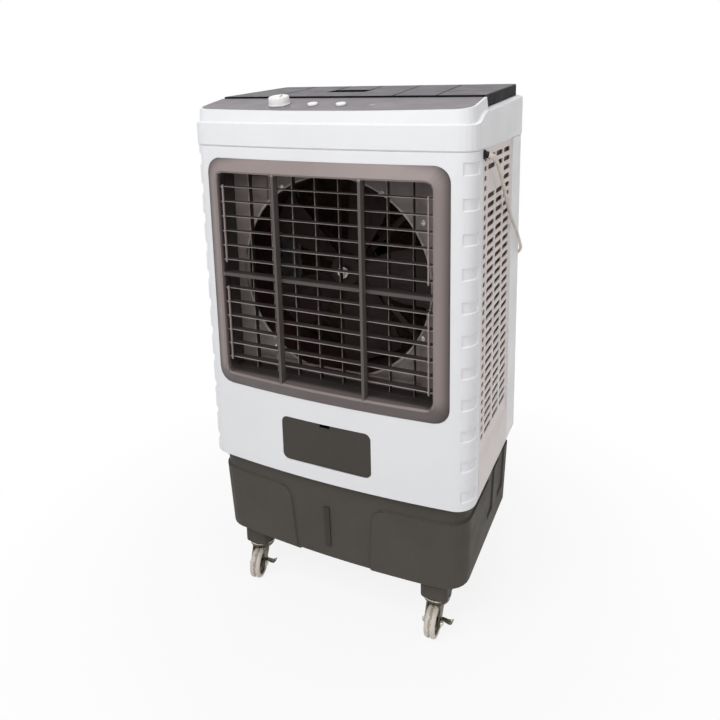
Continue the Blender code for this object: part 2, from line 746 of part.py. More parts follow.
def louver_bezel():
    """Raised frame with jambs, two guard bars and a middle rail, drilled for the blade pins."""
    def ring(grow, radius, depth):
        low = OPEN_LOW - grow * FLANK_LOW / FLANK
        return frame_ring(OPEN_HALF + grow, low, OPEN_HIGH + grow, radius, depth)

    back = BODY_INSET + WALL + 0.004
    rings = [ring(FLANK, BEZEL_R, lambda x: front_y(x) + back),
             ring(FLANK, BEZEL_R, lambda x: front_y(x) + BODY_INSET - 0.001),
             ring(0.004, OPEN_R + 0.004, lambda x: front_y(x) - LIP_RISE),
             ring(0.0, OPEN_R, lambda x: front_y(x) - LIP_RISE + 0.003),
             ring(0.0, OPEN_R, lambda x: JAMB_Y),
             ring(0.003, OPEN_R + 0.003, lambda x: JAMB_Y),
             ring(0.0035, OPEN_R + 0.003, lambda x: front_y(x) - LIP_RISE + 0.009),
             ring(FLANK - 0.004, BEZEL_R - 0.004, lambda x: front_y(x) + BODY_INSET + 0.003),
             ring(FLANK - 0.004, BEZEL_R - 0.004, lambda x: front_y(x) + back)]
    bezel = loft("louver_bezel", rings, TAUPE, closed=True)
    bar_front = front_y(BAR_X) - LIP_RISE + BAR_SINK
    tools = []
    for side in (-1, 1):
        across = box_outline(side * BAR_X - BAR_WIDTH / 2, side * BAR_X + BAR_WIDTH / 2, bar_front, BAR_Y)
        tools.append(prism("bar", across, "z", OPEN_LOW - 0.002, OPEN_HIGH + 0.002, TAUPE))
    rail = box_outline(BAR_Y - 0.001, JAMB_Y - 0.004, MID_Z - RAIL_HEIGHT / 2, MID_Z + RAIL_HEIGHT / 2)
    tools.append(prism("rail", rail, "x", -OPEN_HALF - 0.002, OPEN_HALF + 0.002, TAUPE))
    combine(bezel, tools, "UNION")
    bm = bmesh.new()
    for z in blade_heights():
        for side in (-1, 1):
            hole = circle(PIN_HOLE_R, HOLE_SIDES, (BLADE_Y, z))
            skin(bm, prism_rings(hole, "x", side * (OPEN_HALF - 0.001), side * (OPEN_HALF + 0.005)))
    holes = add_object("holes", mesh_from(bm, "holes"), TAUPE)
    return combine(bezel, [holes], "DIFFERENCE")


def slat(name, length, chord, mat):
    """Thin slat along X with sharp edges and a pivot pin at each end."""
    lens = [(chord / 2, 0.0), (chord / 6, BLADE_THICK / 2), (-chord / 6, BLADE_THICK / 2),
            (-chord / 2, 0.0), (-chord / 6, -BLADE_THICK / 2), (chord / 6, -BLADE_THICK / 2)]
    pin = circle(PIN_R * 0.8, 6)
    stations = [(pin, -length / 2 - PIN_LENGTH), (pin, -length / 2), (lens, -length / 2),
                (lens, length / 2), (pin, length / 2), (pin, length / 2 + PIN_LENGTH)]
    rings = [[(x, a, b) for a, b in section] for section, x in stations]
    return loft(name, rings, mat)


def louver_blades():
    """Two groups of level blades, each turning on its own pins."""
    length = 2 * (OPEN_HALF - 2 * GAP)
    names = [f"{group}_blade_{row}" for group in ("upper", "lower") for row in range(1, BLADES_PER_GROUP + 1)]
    first = None
    for name, z in zip(names, blade_heights()):
        place = Matrix.Translation((0.0, BLADE_Y, z))
        if first is None:
            first = slat(name, length, BLADE_CHORD, TAUPE)
            first.matrix_world = place
        else:
            copy_of(name, first, place, TAUPE)


def blade_links():
    """Upright bar in front of each group, moving with the blades' front edges."""
    heights = blade_heights()
    edge = BLADE_Y - BLADE_CHORD / 2
    for group, start in (("upper", 0), ("lower", BLADES_PER_GROUP)):
        rows = heights[start:start + BLADES_PER_GROUP]
        across = box_outline(LINK_X - LINK_SIZE / 2, LINK_X + LINK_SIZE / 2, -LINK_SIZE - GAP, -GAP)
        pivot = Vector((0.0, edge, rows[0]))
        link = prism(f"{group}_blade_link", across, "z", rows[-1] - rows[0] - 0.005, 0.005, TAUPE)
        link.matrix_world = Matrix.Translation(pivot)


def vane_xs():
    """Places of the upright swing vanes."""
    return [VANE_PITCH * (number - (VANE_COUNT - 1) / 2) for number in range(VANE_COUNT)]


def swing_vanes():
    """Upright vanes behind the blades and the bar that swings them together."""
    length = OPEN_H - 4 * GAP
    upright = Matrix.Rotation(math.radians(-90), 4, "Y")
    first = None
    for number, x in enumerate(vane_xs(), 1):
        place = Matrix.Translation((x, VANE_Y, MID_Z)) @ upright
        name = f"swing_vane_{number}"
        if first is None:
            first = slat(name, length, VANE_CHORD, TAUPE)
            first.matrix_world = place
        else:
            copy_of(name, first, place, TAUPE)
    edge = VANE_CHORD / 2
    reach = vane_xs()[-1] - vane_xs()[0]
    across = box_outline(GAP, GAP + LINK_SIZE, VANE_LINK_Z - LINK_SIZE / 2, VANE_LINK_Z + LINK_SIZE / 2)
    link = prism("vane_link", across, "x", -0.005, reach + 0.005, TAUPE)
    link.matrix_world = Matrix.Translation((vane_xs()[0], VANE_Y + edge, 0.0))


def square_ring(grow, y, per_side):
    """Square-cornered loop round the opening with even steps on each side."""
    corners = [(-OPEN_HALF - grow, OPEN_LOW - grow), (OPEN_HALF + grow, OPEN_LOW - grow),
               (OPEN_HALF + grow, OPEN_HIGH + grow), (-OPEN_HALF - grow, OPEN_HIGH + grow)]
    ring = []
    for here, there in zip(corners, corners[1:] + corners[:1]):
        for step in range(per_side):
            t = step / per_side
            ring.append((here[0] + (there[0] - here[0]) * t, y, here[1] + (there[1] - here[1]) * t))
    return ring


def round_ring(radius, y, per_side):
    """Circle in step with a square ring."""
    count = 4 * per_side
    angles = [math.radians(225) + 2 * math.pi * i / count for i in range(count)]
    return [(radius * math.cos(t), y, MID_Z + radius * math.sin(t)) for t in angles]


def fan_shroud():
    """Air box with the fan ring and the spider that carries the motor."""
    side = 12
    wall = SHROUD_WALL
    spider_y = COLLAR_Y - SPIDER_THICK
    rings = [square_ring(wall, BOX_Y, side), square_ring(0.0, BOX_Y, side), square_ring(0.0, PLATE_Y, side),
             round_ring(COLLAR_R, PLATE_Y, side), round_ring(COLLAR_R, COLLAR_Y, side),
             round_ring(COLLAR_R + wall, COLLAR_Y, side), round_ring(COLLAR_R + wall, PLATE_Y + wall, side),
             square_ring(wall, PLATE_Y + wall, side)]
    shroud = loft("fan_shroud", rings, TAUPE, closed=True)
    disc = [(SPIDER_HOLE_R, spider_y), (SPIDER_R, spider_y), (SPIDER_R, COLLAR_Y), (SPIDER_HOLE_R, COLLAR_Y)]
    tools = [turned("spider", disc, 24, TAUPE, "y", closed=True)]
    shift(tools[0], Matrix.Translation((0.0, 0.0, MID_Z)))
    for number in range(4):
        across = box_outline(SPIDER_R - 0.008, COLLAR_R + wall / 2, -ARM_HALF, ARM_HALF)
        arm = prism("arm", across, "y", spider_y + 0.001, COLLAR_Y - 0.001, TAUPE)
        turn = Matrix.Rotation(math.radians(45 + 90 * number), 4, "Y")
        tools.append(shift(arm, Matrix.Translation((0.0, 0.0, MID_Z)) @ turn))
    rail_low = MID_Z - RAIL_HEIGHT
    rail = box_outline(BOX_Y, BOX_Y + 0.0035, rail_low - 0.003, rail_low + 0.003)
    combine(shroud, tools, "UNION")
    combine(shroud, [prism("rail", rail, "x", -OPEN_HALF - 0.0015, OPEN_HALF + 0.0015, TAUPE)], "UNION")
    bm = bmesh.new()
    for x in vane_xs():
        hole = circle(PIN_HOLE_R, HOLE_SIDES, (x, VANE_Y))
        skin(bm, prism_rings(hole, "z", OPEN_LOW - 0.005, OPEN_LOW + 0.001))
        skin(bm, prism_rings(hole, "z", OPEN_HIGH - 0.001, OPEN_HIGH + 0.005))
    holes = add_object("holes", mesh_from(bm, "holes"), TAUPE)
    return combine(shroud, [holes], "DIFFERENCE")


def fan_blade(number):
    """One twisted fan blade, wrapped on cylinders about the fan's axis."""
    tip = COLLAR_R - FAN_TIP_GAP
    stations = [(HUB_R - 0.006, 0.038, 38), (0.090, 0.095, 33), (0.150, 0.120, 26), (tip, 0.125, 21)]
    start = 2 * math.pi * number / FAN_BLADES
    half_thick = 0.0012
    rings = []
    for radius, chord, pitch in stations:
        around = chord / 2 * math.cos(math.radians(pitch)) / radius
        along = chord / 2 * math.sin(math.radians(pitch))
        front = []
        rear = []
        for s in (-1.0, -0.33, 0.33, 1.0):
            t = start + s * around
            y = s * along + 0.004 * (1 - s * s)
            front.append((radius * math.cos(t), y - half_thick, radius * math.sin(t)))
            rear.append((radius * math.cos(t), y + half_thick, radius * math.sin(t)))
        rings.append(front + list(reversed(rear)))
    return loft("fan_blade", rings, BLACK)


def fan():
    """Axial fan with its hub and shaft, turning about Y."""
    half = HUB_LENGTH / 2
    shaft_end = COLLAR_Y + 0.010 - FAN_Y
    profile = [(0.008, -half - HUB_NOSE), (0.008, -half), (HUB_R - 0.004, -half), (HUB_R, -half + 0.004),
               (HUB_R, half), (SHAFT_R, half), (SHAFT_R, shaft_end)]
    wheel = turned("fan", profile, 24, BLACK, "y")
    combine(wheel, [fan_blade(number) for number in range(FAN_BLADES)], "UNION")
    wheel.matrix_world = Matrix.Translation((0.0, FAN_Y, MID_Z))


def fan_motor():
    """Motor bolted to the spider, its nose bored for the fan shaft."""
    nose = COLLAR_Y + GAP
    bore = SHAFT_R + AXLE_CLEARANCE
    profile = [(bore, nose + 0.0105), (bore, nose), (MOTOR_R - 0.016, nose), (MOTOR_R, nose + 0.010),
               (MOTOR_R, nose + MOTOR_LENGTH - 0.012), (MOTOR_R - 0.014, nose + MOTOR_LENGTH)]
    motor = turned("fan_motor", profile, 28, MOTOR_STEEL, "y")
    return shift(motor, Matrix.Translation((0.0, 0.0, MID_Z)))


def slot_rows():
    """Heights of the air slots in the covers."""
    return [SLOT_LOW + SLOT_PITCH * row for row in range(SLOT_ROWS)]


def side_panel(side):
    """Slotted side cover between the front shell and the rear cover."""
    face = HALF_W - BODY_INSET - PANEL_SINK
    y0 = RETURN_Y + GAP
    y1 = POST_Y - GAP
    name = "right_side_panel" if side > 0 else "left_side_panel"
    cover = prism(name, box_outline(y0, y1, BODY_Z, CROWN_Z - GAP), "x", side * (face - COVER_THICK),
                  side * face, COVER)
    low = y0 + SIDE_SLOT_FRONT
    high = y1 - SIDE_SLOT_REAR
    middle = (low + high) / 2
    slots = []
    for z in slot_rows():
        slots.append(box_outline(low, middle - SLOT_WEB / 2, z, z + SLOT_HEIGHT))
        slots.append(box_outline(middle + SLOT_WEB / 2, high, z, z + SLOT_HEIGHT))
    cutter = prisms("slots", slots, "x", side * (face - 0.02), side * (face + 0.02), COVER)
    return combine(cover, [cutter], "DIFFERENCE")


def rear_panel():
    """Slotted rear cover that wraps the rear corners and carries the lead's hook."""
    outer = []
    inner = []
    for inset, path in ((BODY_INSET, outer), (BODY_INSET + COVER_THICK, inner)):
        half = HALF_W - inset
        rear = REAR_Y - inset
        radius = REAR_R - (inset - BODY_INSET)
        path.append((half, POST_Y))
        for step in range(REAR_STEPS + 1):
            t = math.pi / 2 * step / REAR_STEPS
            path.append((half - radius + radius * math.cos(t), rear - radius + radius * math.sin(t)))
        path.extend(mirrored(path))
    cover = prism("rear_panel", outer + list(reversed(inner)), "z", BODY_Z, CROWN_Z - GAP, WHITE)
    slots = []
    for z in slot_rows():
        slots.append(box_outline(-REAR_SLOT_HALF, -SLOT_WEB / 2, z, z + SLOT_HEIGHT))
        slots.append(box_outline(SLOT_WEB / 2, REAR_SLOT_HALF, z, z + SLOT_HEIGHT))
    combine(cover, [prisms("slots", slots, "y", POST_Y, REAR_Y + 0.02, COVER)], "DIFFERENCE")
    face = REAR_Y - BODY_INSET
    root = face - COVER_THICK / 2
    end = face + HOOK_REACH
    lip = end - HOOK_LIP_THICK
    under = HOOK_Z - HOOK_THICK
    tip = HOOK_Z + HOOK_LIP
    hook = [(root, under), (end, under), (end, tip), (lip, tip), (lip, HOOK_Z), (root, HOOK_Z)]
    peg = prism("hook", hook, "x", HOOK_X - HOOK_HALF, HOOK_X + HOOK_HALF, COVER)
    return combine(cover, [peg], "UNION")


def cooling_pads():
    """Wet pads behind the side and rear covers."""
    low = BODY_Z + PAD_MARGIN
    high = CROWN_Z - 0.003
    face = HALF_W - BODY_INSET - PANEL_SINK - COVER_THICK - GAP
    rear = REAR_Y - BODY_INSET - COVER_THICK - GAP
    for side, name in ((-1, "left_pad"), (1, "right_pad")):
        outline = box_outline(RETURN_Y + PAD_MARGIN, POST_Y - PAD_MARGIN, low, high)
        prism(name, outline, "x", side * (face - PAD_THICK), side * face, PAPER)
    reach = face - PAD_THICK - PAD_MARGIN
    prism("rear_pad", box_outline(-reach, reach, low, high), "y", rear - PAD_THICK, rear, PAPER)


def water_tray():
    """U-shaped trough that lies on the pads and spreads the water."""
    low = CROWN_Z - 0.003 + GAP
    half = HALF_W - RIM_INSET - RIM_WIDTH - 0.004
    rear = REAR_Y - RIM_INSET - RIM_WIDTH - 0.004
    inside = half - TRAY_STRIP
    outline = [(half, TRAY_FRONT_Y), (half, rear), (-half, rear), (-half, TRAY_FRONT_Y),
               (-inside, TRAY_FRONT_Y), (-inside, TRAY_REAR_Y), (inside, TRAY_REAR_Y), (inside, TRAY_FRONT_Y)]
    return prism("water_tray", outline, "z", low, low + TRAY_THICK, PIPE_CLEAR)


def water_pump():
    """Pump on the tank floor and the riser pipe up to the tray."""
    floor = TANK_Z + TANK_FLOOR + GAP
    top = floor + PUMP_H
    profile = [(PUMP_R, floor), (PUMP_R, top - 0.006), (PUMP_R - 0.006, top), (NIPPLE_R, top),
               (NIPPLE_R, top + NIPPLE_H)]
    place = Matrix.Translation((PUMP_X, PUMP_Y, 0.0))
    shift(turned("water_pump", profile, 20, BLACK), place)
    bore = NIPPLE_R + GAP
    tray_low = CROWN_Z - 0.003
    pipe = [(bore, top + GAP), (RISER_R, top + GAP), (RISER_R, tray_low), (bore, tray_low)]
    shift(turned("riser_pipe", pipe, 14, PIPE_CLEAR, closed=True), place)


def caster_fork():
    """Swivel fork with its stem and axle, about the stem's axis at the boss face."""
    axle_z = WHEEL_R - BOSS_Z
    plate_low = -GAP - SWIVEL_THICK
    fork = turned("caster_fork", [(SWIVEL_R, plate_low), (SWIVEL_R, -GAP), (STEM_R, -GAP), (STEM_R, STEM_LENGTH)],
                  20, STEEL)
    inside = WHEEL_HALF + FORK_GAP
    arm = [(-TRAIL - FORK_HALF, axle_z + 0.002), (-TRAIL - FORK_HALF * 0.6, axle_z - 0.009),
           (-TRAIL + FORK_HALF * 0.6, axle_z - 0.009), (-TRAIL + FORK_HALF, axle_z + 0.002),
           (0.016, plate_low + 0.002), (-0.018, plate_low + 0.002)]
    tools = []
    for side in (-1, 1):
        tools.append(prism("arm", arm, "x", side * inside, side * (inside + FORK_THICK), STEEL))
    top = box_outline(-0.018, 0.016, plate_low - 0.001, plate_low + 0.003)
    tools.append(prism("top", top, "x", -inside - FORK_THICK, inside + FORK_THICK, STEEL))
    axle = prism("axle", circle(AXLE_R, 14, (-TRAIL, axle_z)), "x", -inside - 0.001, inside + 0.001, STEEL)
    combine(fork, tools, "UNION")
    return combine(fork, [axle], "UNION")


def caster_wheel():
    """Moulded wheel with a hub and a grooved tread, turning about X."""
    bore = AXLE_R + AXLE_CLEARANCE
    hub = WHEEL_HALF + FORK_GAP / 2
    half = [(WHEEL_R, WHEEL_HALF * 0.5), (WHEEL_R - 0.004, WHEEL_HALF), (WHEEL_R - 0.009, WHEEL_HALF),
            (0.011, WHEEL_HALF - 0.004), (0.009, hub), (bore, hub)]
    profile = [(radius, -x) for radius, x in reversed(half)] + half
    return turned("caster_wheel", profile, 20, WHEEL_GREY, "x", closed=True)


def brake_lever():
    """Foot lever beside the fork, turning about the axle."""
    plate = WHEEL_HALF + FORK_GAP + FORK_THICK + GAP
    face = plate + LEVER_THICK
    end = plate + LEVER_REACH
    hook = [(plate, -LEVER_DROP), (face, -LEVER_DROP), (face, LEVER_RISE - 0.003),
            (end, LEVER_RISE - 0.007), (end, LEVER_RISE - 0.007 + LEVER_THICK), (plate, LEVER_RISE)]
    return prism("brake_lever", hook, "y", -LEVER_HALF, LEVER_HALF, STEEL)


def casters():
    """Four swivel casters, the front pair with foot brakes."""
    fork = caster_fork()
    wheel = caster_wheel()
    lever = brake_lever()
    corners = (("front_left", -1, -1), ("front_right", 1, -1), ("rear_left", -1, 1), ("rear_right", 1, 1))
    for (name, sx, sy), turn in zip(corners, CASTER_TURNS):
        spin = Matrix.Rotation(math.radians(turn), 4, "Z")
        place = Matrix.Translation((sx * CASTER_X, sy * CASTER_Y, BOSS_Z)) @ spin
        axle = place @ Matrix.Translation((0.0, -TRAIL, WHEEL_R - BOSS_Z))
        copy_of(f"{name}_fork", fork, place, STEEL)
        copy_of(f"{name}_wheel", wheel, axle, WHEEL_GREY)
        if sy < 0:
            copy_of(f"{name}_brake", lever, axle, STEEL)
    for pattern in (fork, wheel, lever):
        bpy.data.objects.remove(pattern, do_unlink=True)


def spline(points, spacing):
    """Evenly spaced points on a smooth curve through hand-placed points."""
    route = [Vector(point) for point in points]
    ends = [2 * route[0] - route[1]] + route + [2 * route[-1] - route[-2]]
    fine = []
    for p0, p1, p2, p3 in zip(ends, ends[1:], ends[2:], ends[3:]):
        for step in range(20):
            t = step / 20
            fine.append(0.5 * (2 * p1 + (p2 - p0) * t + (2 * p0 - 5 * p1 + 4 * p2 - p3) * t * t
                               + (3 * p1 - p0 - 3 * p2 + p3) * t * t * t))
    fine.append(route[-1])
    travel = [0.0]
    for here, there in zip(fine, fine[1:]):
        travel.append(travel[-1] + (there - here).length)
    count = max(2, round(travel[-1] / spacing))
    even = []
    index = 0
    for number in range(count + 1):
        goal = travel[-1] * number / count
        while index < len(travel) - 2 and travel[index + 1] < goal:
            index += 1
        share = (goal - travel[index]) / (travel[index + 1] - travel[index])
        even.append(fine[index].lerp(fine[index + 1], min(share, 1.0)))
    return even


def tube(name, points, bevel_resolution, mat):
    """Round lead along a row of points, with closed ends."""
    data = bpy.data.curves.new(name, "CURVE")
    data.dimensions = "3D"
    data.bevel_depth = CORD_D / 2
    data.bevel_resolution = bevel_resolution
    data.use_fill_caps = True
    line = data.splines.new("POLY")
    line.points.add(len(points) - 1)
    for place, point in zip(line.points, points):
        place.co = (*point, 1.0)
    data.materials.append(mat)
    made = bpy.data.objects.new(name, data)
    bpy.context.collection.objects.link(made)
    return made


def coil_points():
    """Two layers that spiral in, climb where the spiral turns, and spiral out again."""
    count = round(COIL_TURNS * COIL_POINTS)
    half = count / 2
    points = []
    for i in range(count + 1):
        turns_from_middle = abs(i - half) / COIL_POINTS
        radius = COIL_MEAN_R + COIL_PITCH * (turns_from_middle - COIL_TURNS / 4)
        climb = smooth((i - half) / (COIL_POINTS / 2) + 0.5)
        angle = math.pi / 2 + 2 * math.pi * i / COIL_POINTS
        points.append(Vector((COIL_CENTRE[0] + radius * math.cos(angle), COIL_CENTRE[1] + radius * math.sin(angle),
                              CORD_D / 2 + GAP + COIL_PITCH * climb)))
    lead_in = (points[0] - points[1]).normalized() * CORD_D
    lead_out = (points[-1] - points[-2]).normalized() * PLUG_LEAD
    lead_in.z = 0.0
    lead_out.z = 0.0
    return [points[0] + lead_in] + points + [points[-1] + lead_out]


def least_gap(points):
    """Least clear distance between turns of the coil, measured on its points."""
    least = 1.0
    for i, here in enumerate(points):
        for there in points[i + COIL_POINTS // 2:]:
            least = min(least, (here - there).length - CORD_D)
    return least


def gland_axis():
    """Stations of the strain relief: out of the side cover, then turning down to the rear."""
    face = HALF_W - BODY_INSET - PANEL_SINK + GAP
    out = Vector((1.0, 0.0, 0.0))
    away = Vector((0.0, math.cos(GLAND_DROP), -math.sin(GLAND_DROP)))
    foot = Vector((face, GLAND_Y, GLAND_Z))
    start = foot + out * (FLANGE_THICK + 0.0005)
    stations = [(foot, out, FLANGE_R), (foot + out * FLANGE_THICK, out, FLANGE_R)]
    steps = 5
    for step in range(steps + 1):
        turn = SLEEVE_TURN * step / steps
        place = start + SLEEVE_BEND * (out * math.sin(turn) + away * (1 - math.cos(turn)))
        direction = out * math.cos(turn) + away * math.sin(turn)
        stations.append((place, direction, SLEEVE_R))
    place, direction, _ = stations[-1]
    stations.append((place + direction * SLEEVE_TAIL, direction, SLEEVE_TIP_R))
    return stations, out.cross(away)


def cord_gland():
    """Round flange and tapered sleeve where the lead leaves the side cover."""
    stations, across = gland_axis()
    rings = []
    for place, direction, radius in stations:
        side = across.cross(direction)
        rings.append([place + side * a + across * b for a, b in circle(radius, 14)])
    loft("cord_gland", rings, BLACK)
    place, direction, _ = stations[-1]
    return place, direction


def power_cord():
    """Lead from its gland round the rear corner, over the hook, down to its coil and plug."""
    start, direction = cord_gland()
    coil = coil_points()
    print("least gap between coil turns, mm:", round(least_gap(coil[1:-1]) * 1000, 3))
    first = start + direction * GAP
    coil_way = (coil[1] - coil[0]).normalized()
    last = coil[0] - coil_way * GAP
    rear = REAR_Y - BODY_INSET
    over = HOOK_Z + CORD_D / 2 + 4 * GAP
    floor = CORD_D / 2 + GAP
    route = [first + direction * 1.5 * CORD_D]
    for out, share, drop in SIDE_RUN:
        route.append((HALF_W + out, GLAND_Y + share * (rear - GLAND_Y), GLAND_Z - drop))
    for side, behind, rise in HOOK_RUN:
        route.append((HOOK_X + side, rear + behind, over + rise))
    for side, behind, share in DROP_RUN:
        route.append((HOOK_X + side, rear + behind, floor + share * (HOOK_Z - floor)))
    route += [last - coil_way * 0.030, last - coil_way * CORD_D]
    tube("power_cord", [first] + spline(route, 3.1 * CORD_D) + [last], 2, LEAD_WHITE)
    tube("cord_coil", coil, 1, LEAD_WHITE)
    return coil[-1], (coil[-1] - coil[-2]).normalized()


def mains_plug(end, direction):
    """Plain two-pin plug lying beside the coil."""
    profile = [(0.0048, GAP), (0.0056, 0.014), (PLUG_R - 0.0015, 0.020), (PLUG_R - 0.001, 0.046), (0.009, 0.050)]
    plug = turned("mains_plug", profile, 16, LEAD_WHITE)
    pins = [prism("pin", circle(0.0022, 10, (0.0, side * 0.0055)), "z", 0.048, 0.066, STEEL) for side in (-1, 1)]
    combine(plug, pins, "UNION")
    aim = direction.to_track_quat("Z", "X").to_matrix().to_4x4()
    plug.matrix_world = Matrix.Translation(end) @ aim


water_tank()
level_window()
front_housing()
crown()
control_panel()
controls()
top_lid()
fill_door()
louver_bezel()
louver_blades()
blade_links()
swing_vanes()
fan_shroud()
fan()
fan_motor()
side_panel(-1)
side_panel(1)
rear_panel()
cooling_pads()
water_tray()
water_pump()
casters()
mains_plug(*power_cord())
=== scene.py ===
import json
from math import atan, copysign, cos, hypot, pi, radians, sin

import bmesh
import bpy
from mathutils import Matrix, Vector


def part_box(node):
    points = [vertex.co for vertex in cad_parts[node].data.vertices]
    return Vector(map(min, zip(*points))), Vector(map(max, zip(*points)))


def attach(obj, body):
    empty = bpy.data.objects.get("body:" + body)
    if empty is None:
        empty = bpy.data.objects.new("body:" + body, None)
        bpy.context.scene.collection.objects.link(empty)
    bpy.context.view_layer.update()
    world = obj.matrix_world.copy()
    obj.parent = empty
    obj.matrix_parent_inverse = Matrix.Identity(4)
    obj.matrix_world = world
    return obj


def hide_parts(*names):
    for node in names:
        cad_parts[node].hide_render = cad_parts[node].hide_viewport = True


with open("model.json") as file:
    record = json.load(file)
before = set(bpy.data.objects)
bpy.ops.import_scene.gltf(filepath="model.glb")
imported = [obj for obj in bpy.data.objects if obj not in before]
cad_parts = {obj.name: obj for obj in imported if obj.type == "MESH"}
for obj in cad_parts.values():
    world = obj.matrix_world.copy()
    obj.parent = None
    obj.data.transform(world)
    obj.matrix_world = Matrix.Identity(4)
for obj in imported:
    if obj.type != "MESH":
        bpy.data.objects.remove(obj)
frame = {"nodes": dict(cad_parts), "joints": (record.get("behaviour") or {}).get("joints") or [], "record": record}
nodes = frame["nodes"]
joints = {joint["name"]: joint for joint in frame["joints"]}
slots = {entry["node"]: entry["material_slot"] for entry in frame["record"]["subparts"]}
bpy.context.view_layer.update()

# Sizes repeated from the model, in metres
HALF_W = 0.3115
REAR = 0.21155
BODY_Z = 0.327
CROWN_Z = 1.038
FRONT_Y = -0.20235
BOW = 0.0192
BODY_INSET = 0.0018
CORNER_R = 0.045
RETURN_Y = -0.127
POST_Y = 0.122
OPEN_HIGH = 0.9845
DOOR_TOP = 0.4618
BLADE_PITCH = 0.0316
BLADE_EDGE_Y = -0.19135
MID_Z = 0.7633
PLATE_Y = -0.13705
RING_R = 0.213
LINK_X = 0.2275
COVER_FACE = 0.3067
COVER_THICK = 0.003
CORD_D = 0.007
FORK_FACE = 0.0165
KNOB_X = -0.112
BUTTON_X = (-0.035, 0.0285)
GAP = 0.0003


# Placing

FACE_FRONT = Matrix.Rotation(radians(90), 4, "X")
FACE_SIDE = Matrix.Rotation(radians(90), 4, "Y")


def at(x, y, z):
    """Placement at a point."""
    return Matrix.Translation((x, y, z))


def mm(*points):
    """Points given in millimetres."""
    return [tuple(round(value / 1000, 7) for value in point) for point in points]


def axes(x, y, z):
    """Turn whose axes point along three directions."""
    return Matrix((x, y, z)).transposed().to_4x4()


def stand(name, data):
    """Object made from its data and put in the scene."""
    made = bpy.data.objects.new(name, data)
    bpy.context.scene.collection.objects.link(made)
    return made


# Camera

def photo_camera():
    """Camera fitted to the photograph."""
    pitch, yaw, roll = 0.1962, -0.4409, -0.0212
    ahead = Vector((sin(yaw) * cos(pitch), cos(yaw) * cos(pitch), -sin(pitch)))
    right = Vector((cos(yaw), -sin(yaw), 0.0))
    up = right.cross(ahead)
    across = cos(roll) * right + sin(roll) * up
    above = -sin(roll) * right + cos(roll) * up
    data = bpy.data.cameras.new("camera")
    data.lens = 33.404
    data.sensor_width = 36.0
    data.shift_y = -0.2083
    camera = stand("camera", data)
    camera.matrix_world = at(0.6228, -1.3228, 1.1724) @ axes(across, above, -ahead)
    bpy.context.scene.camera = camera


photo_camera()


# Materials

# Bevel radius, noise scale and range, least and most share of wear
EDGE_WEAR = (0.0016, 45.0, 0.40, 0.65, 0.0, 0.6)
# Width of the bezel's frame round its bars
BEZEL_BORDER = 0.031


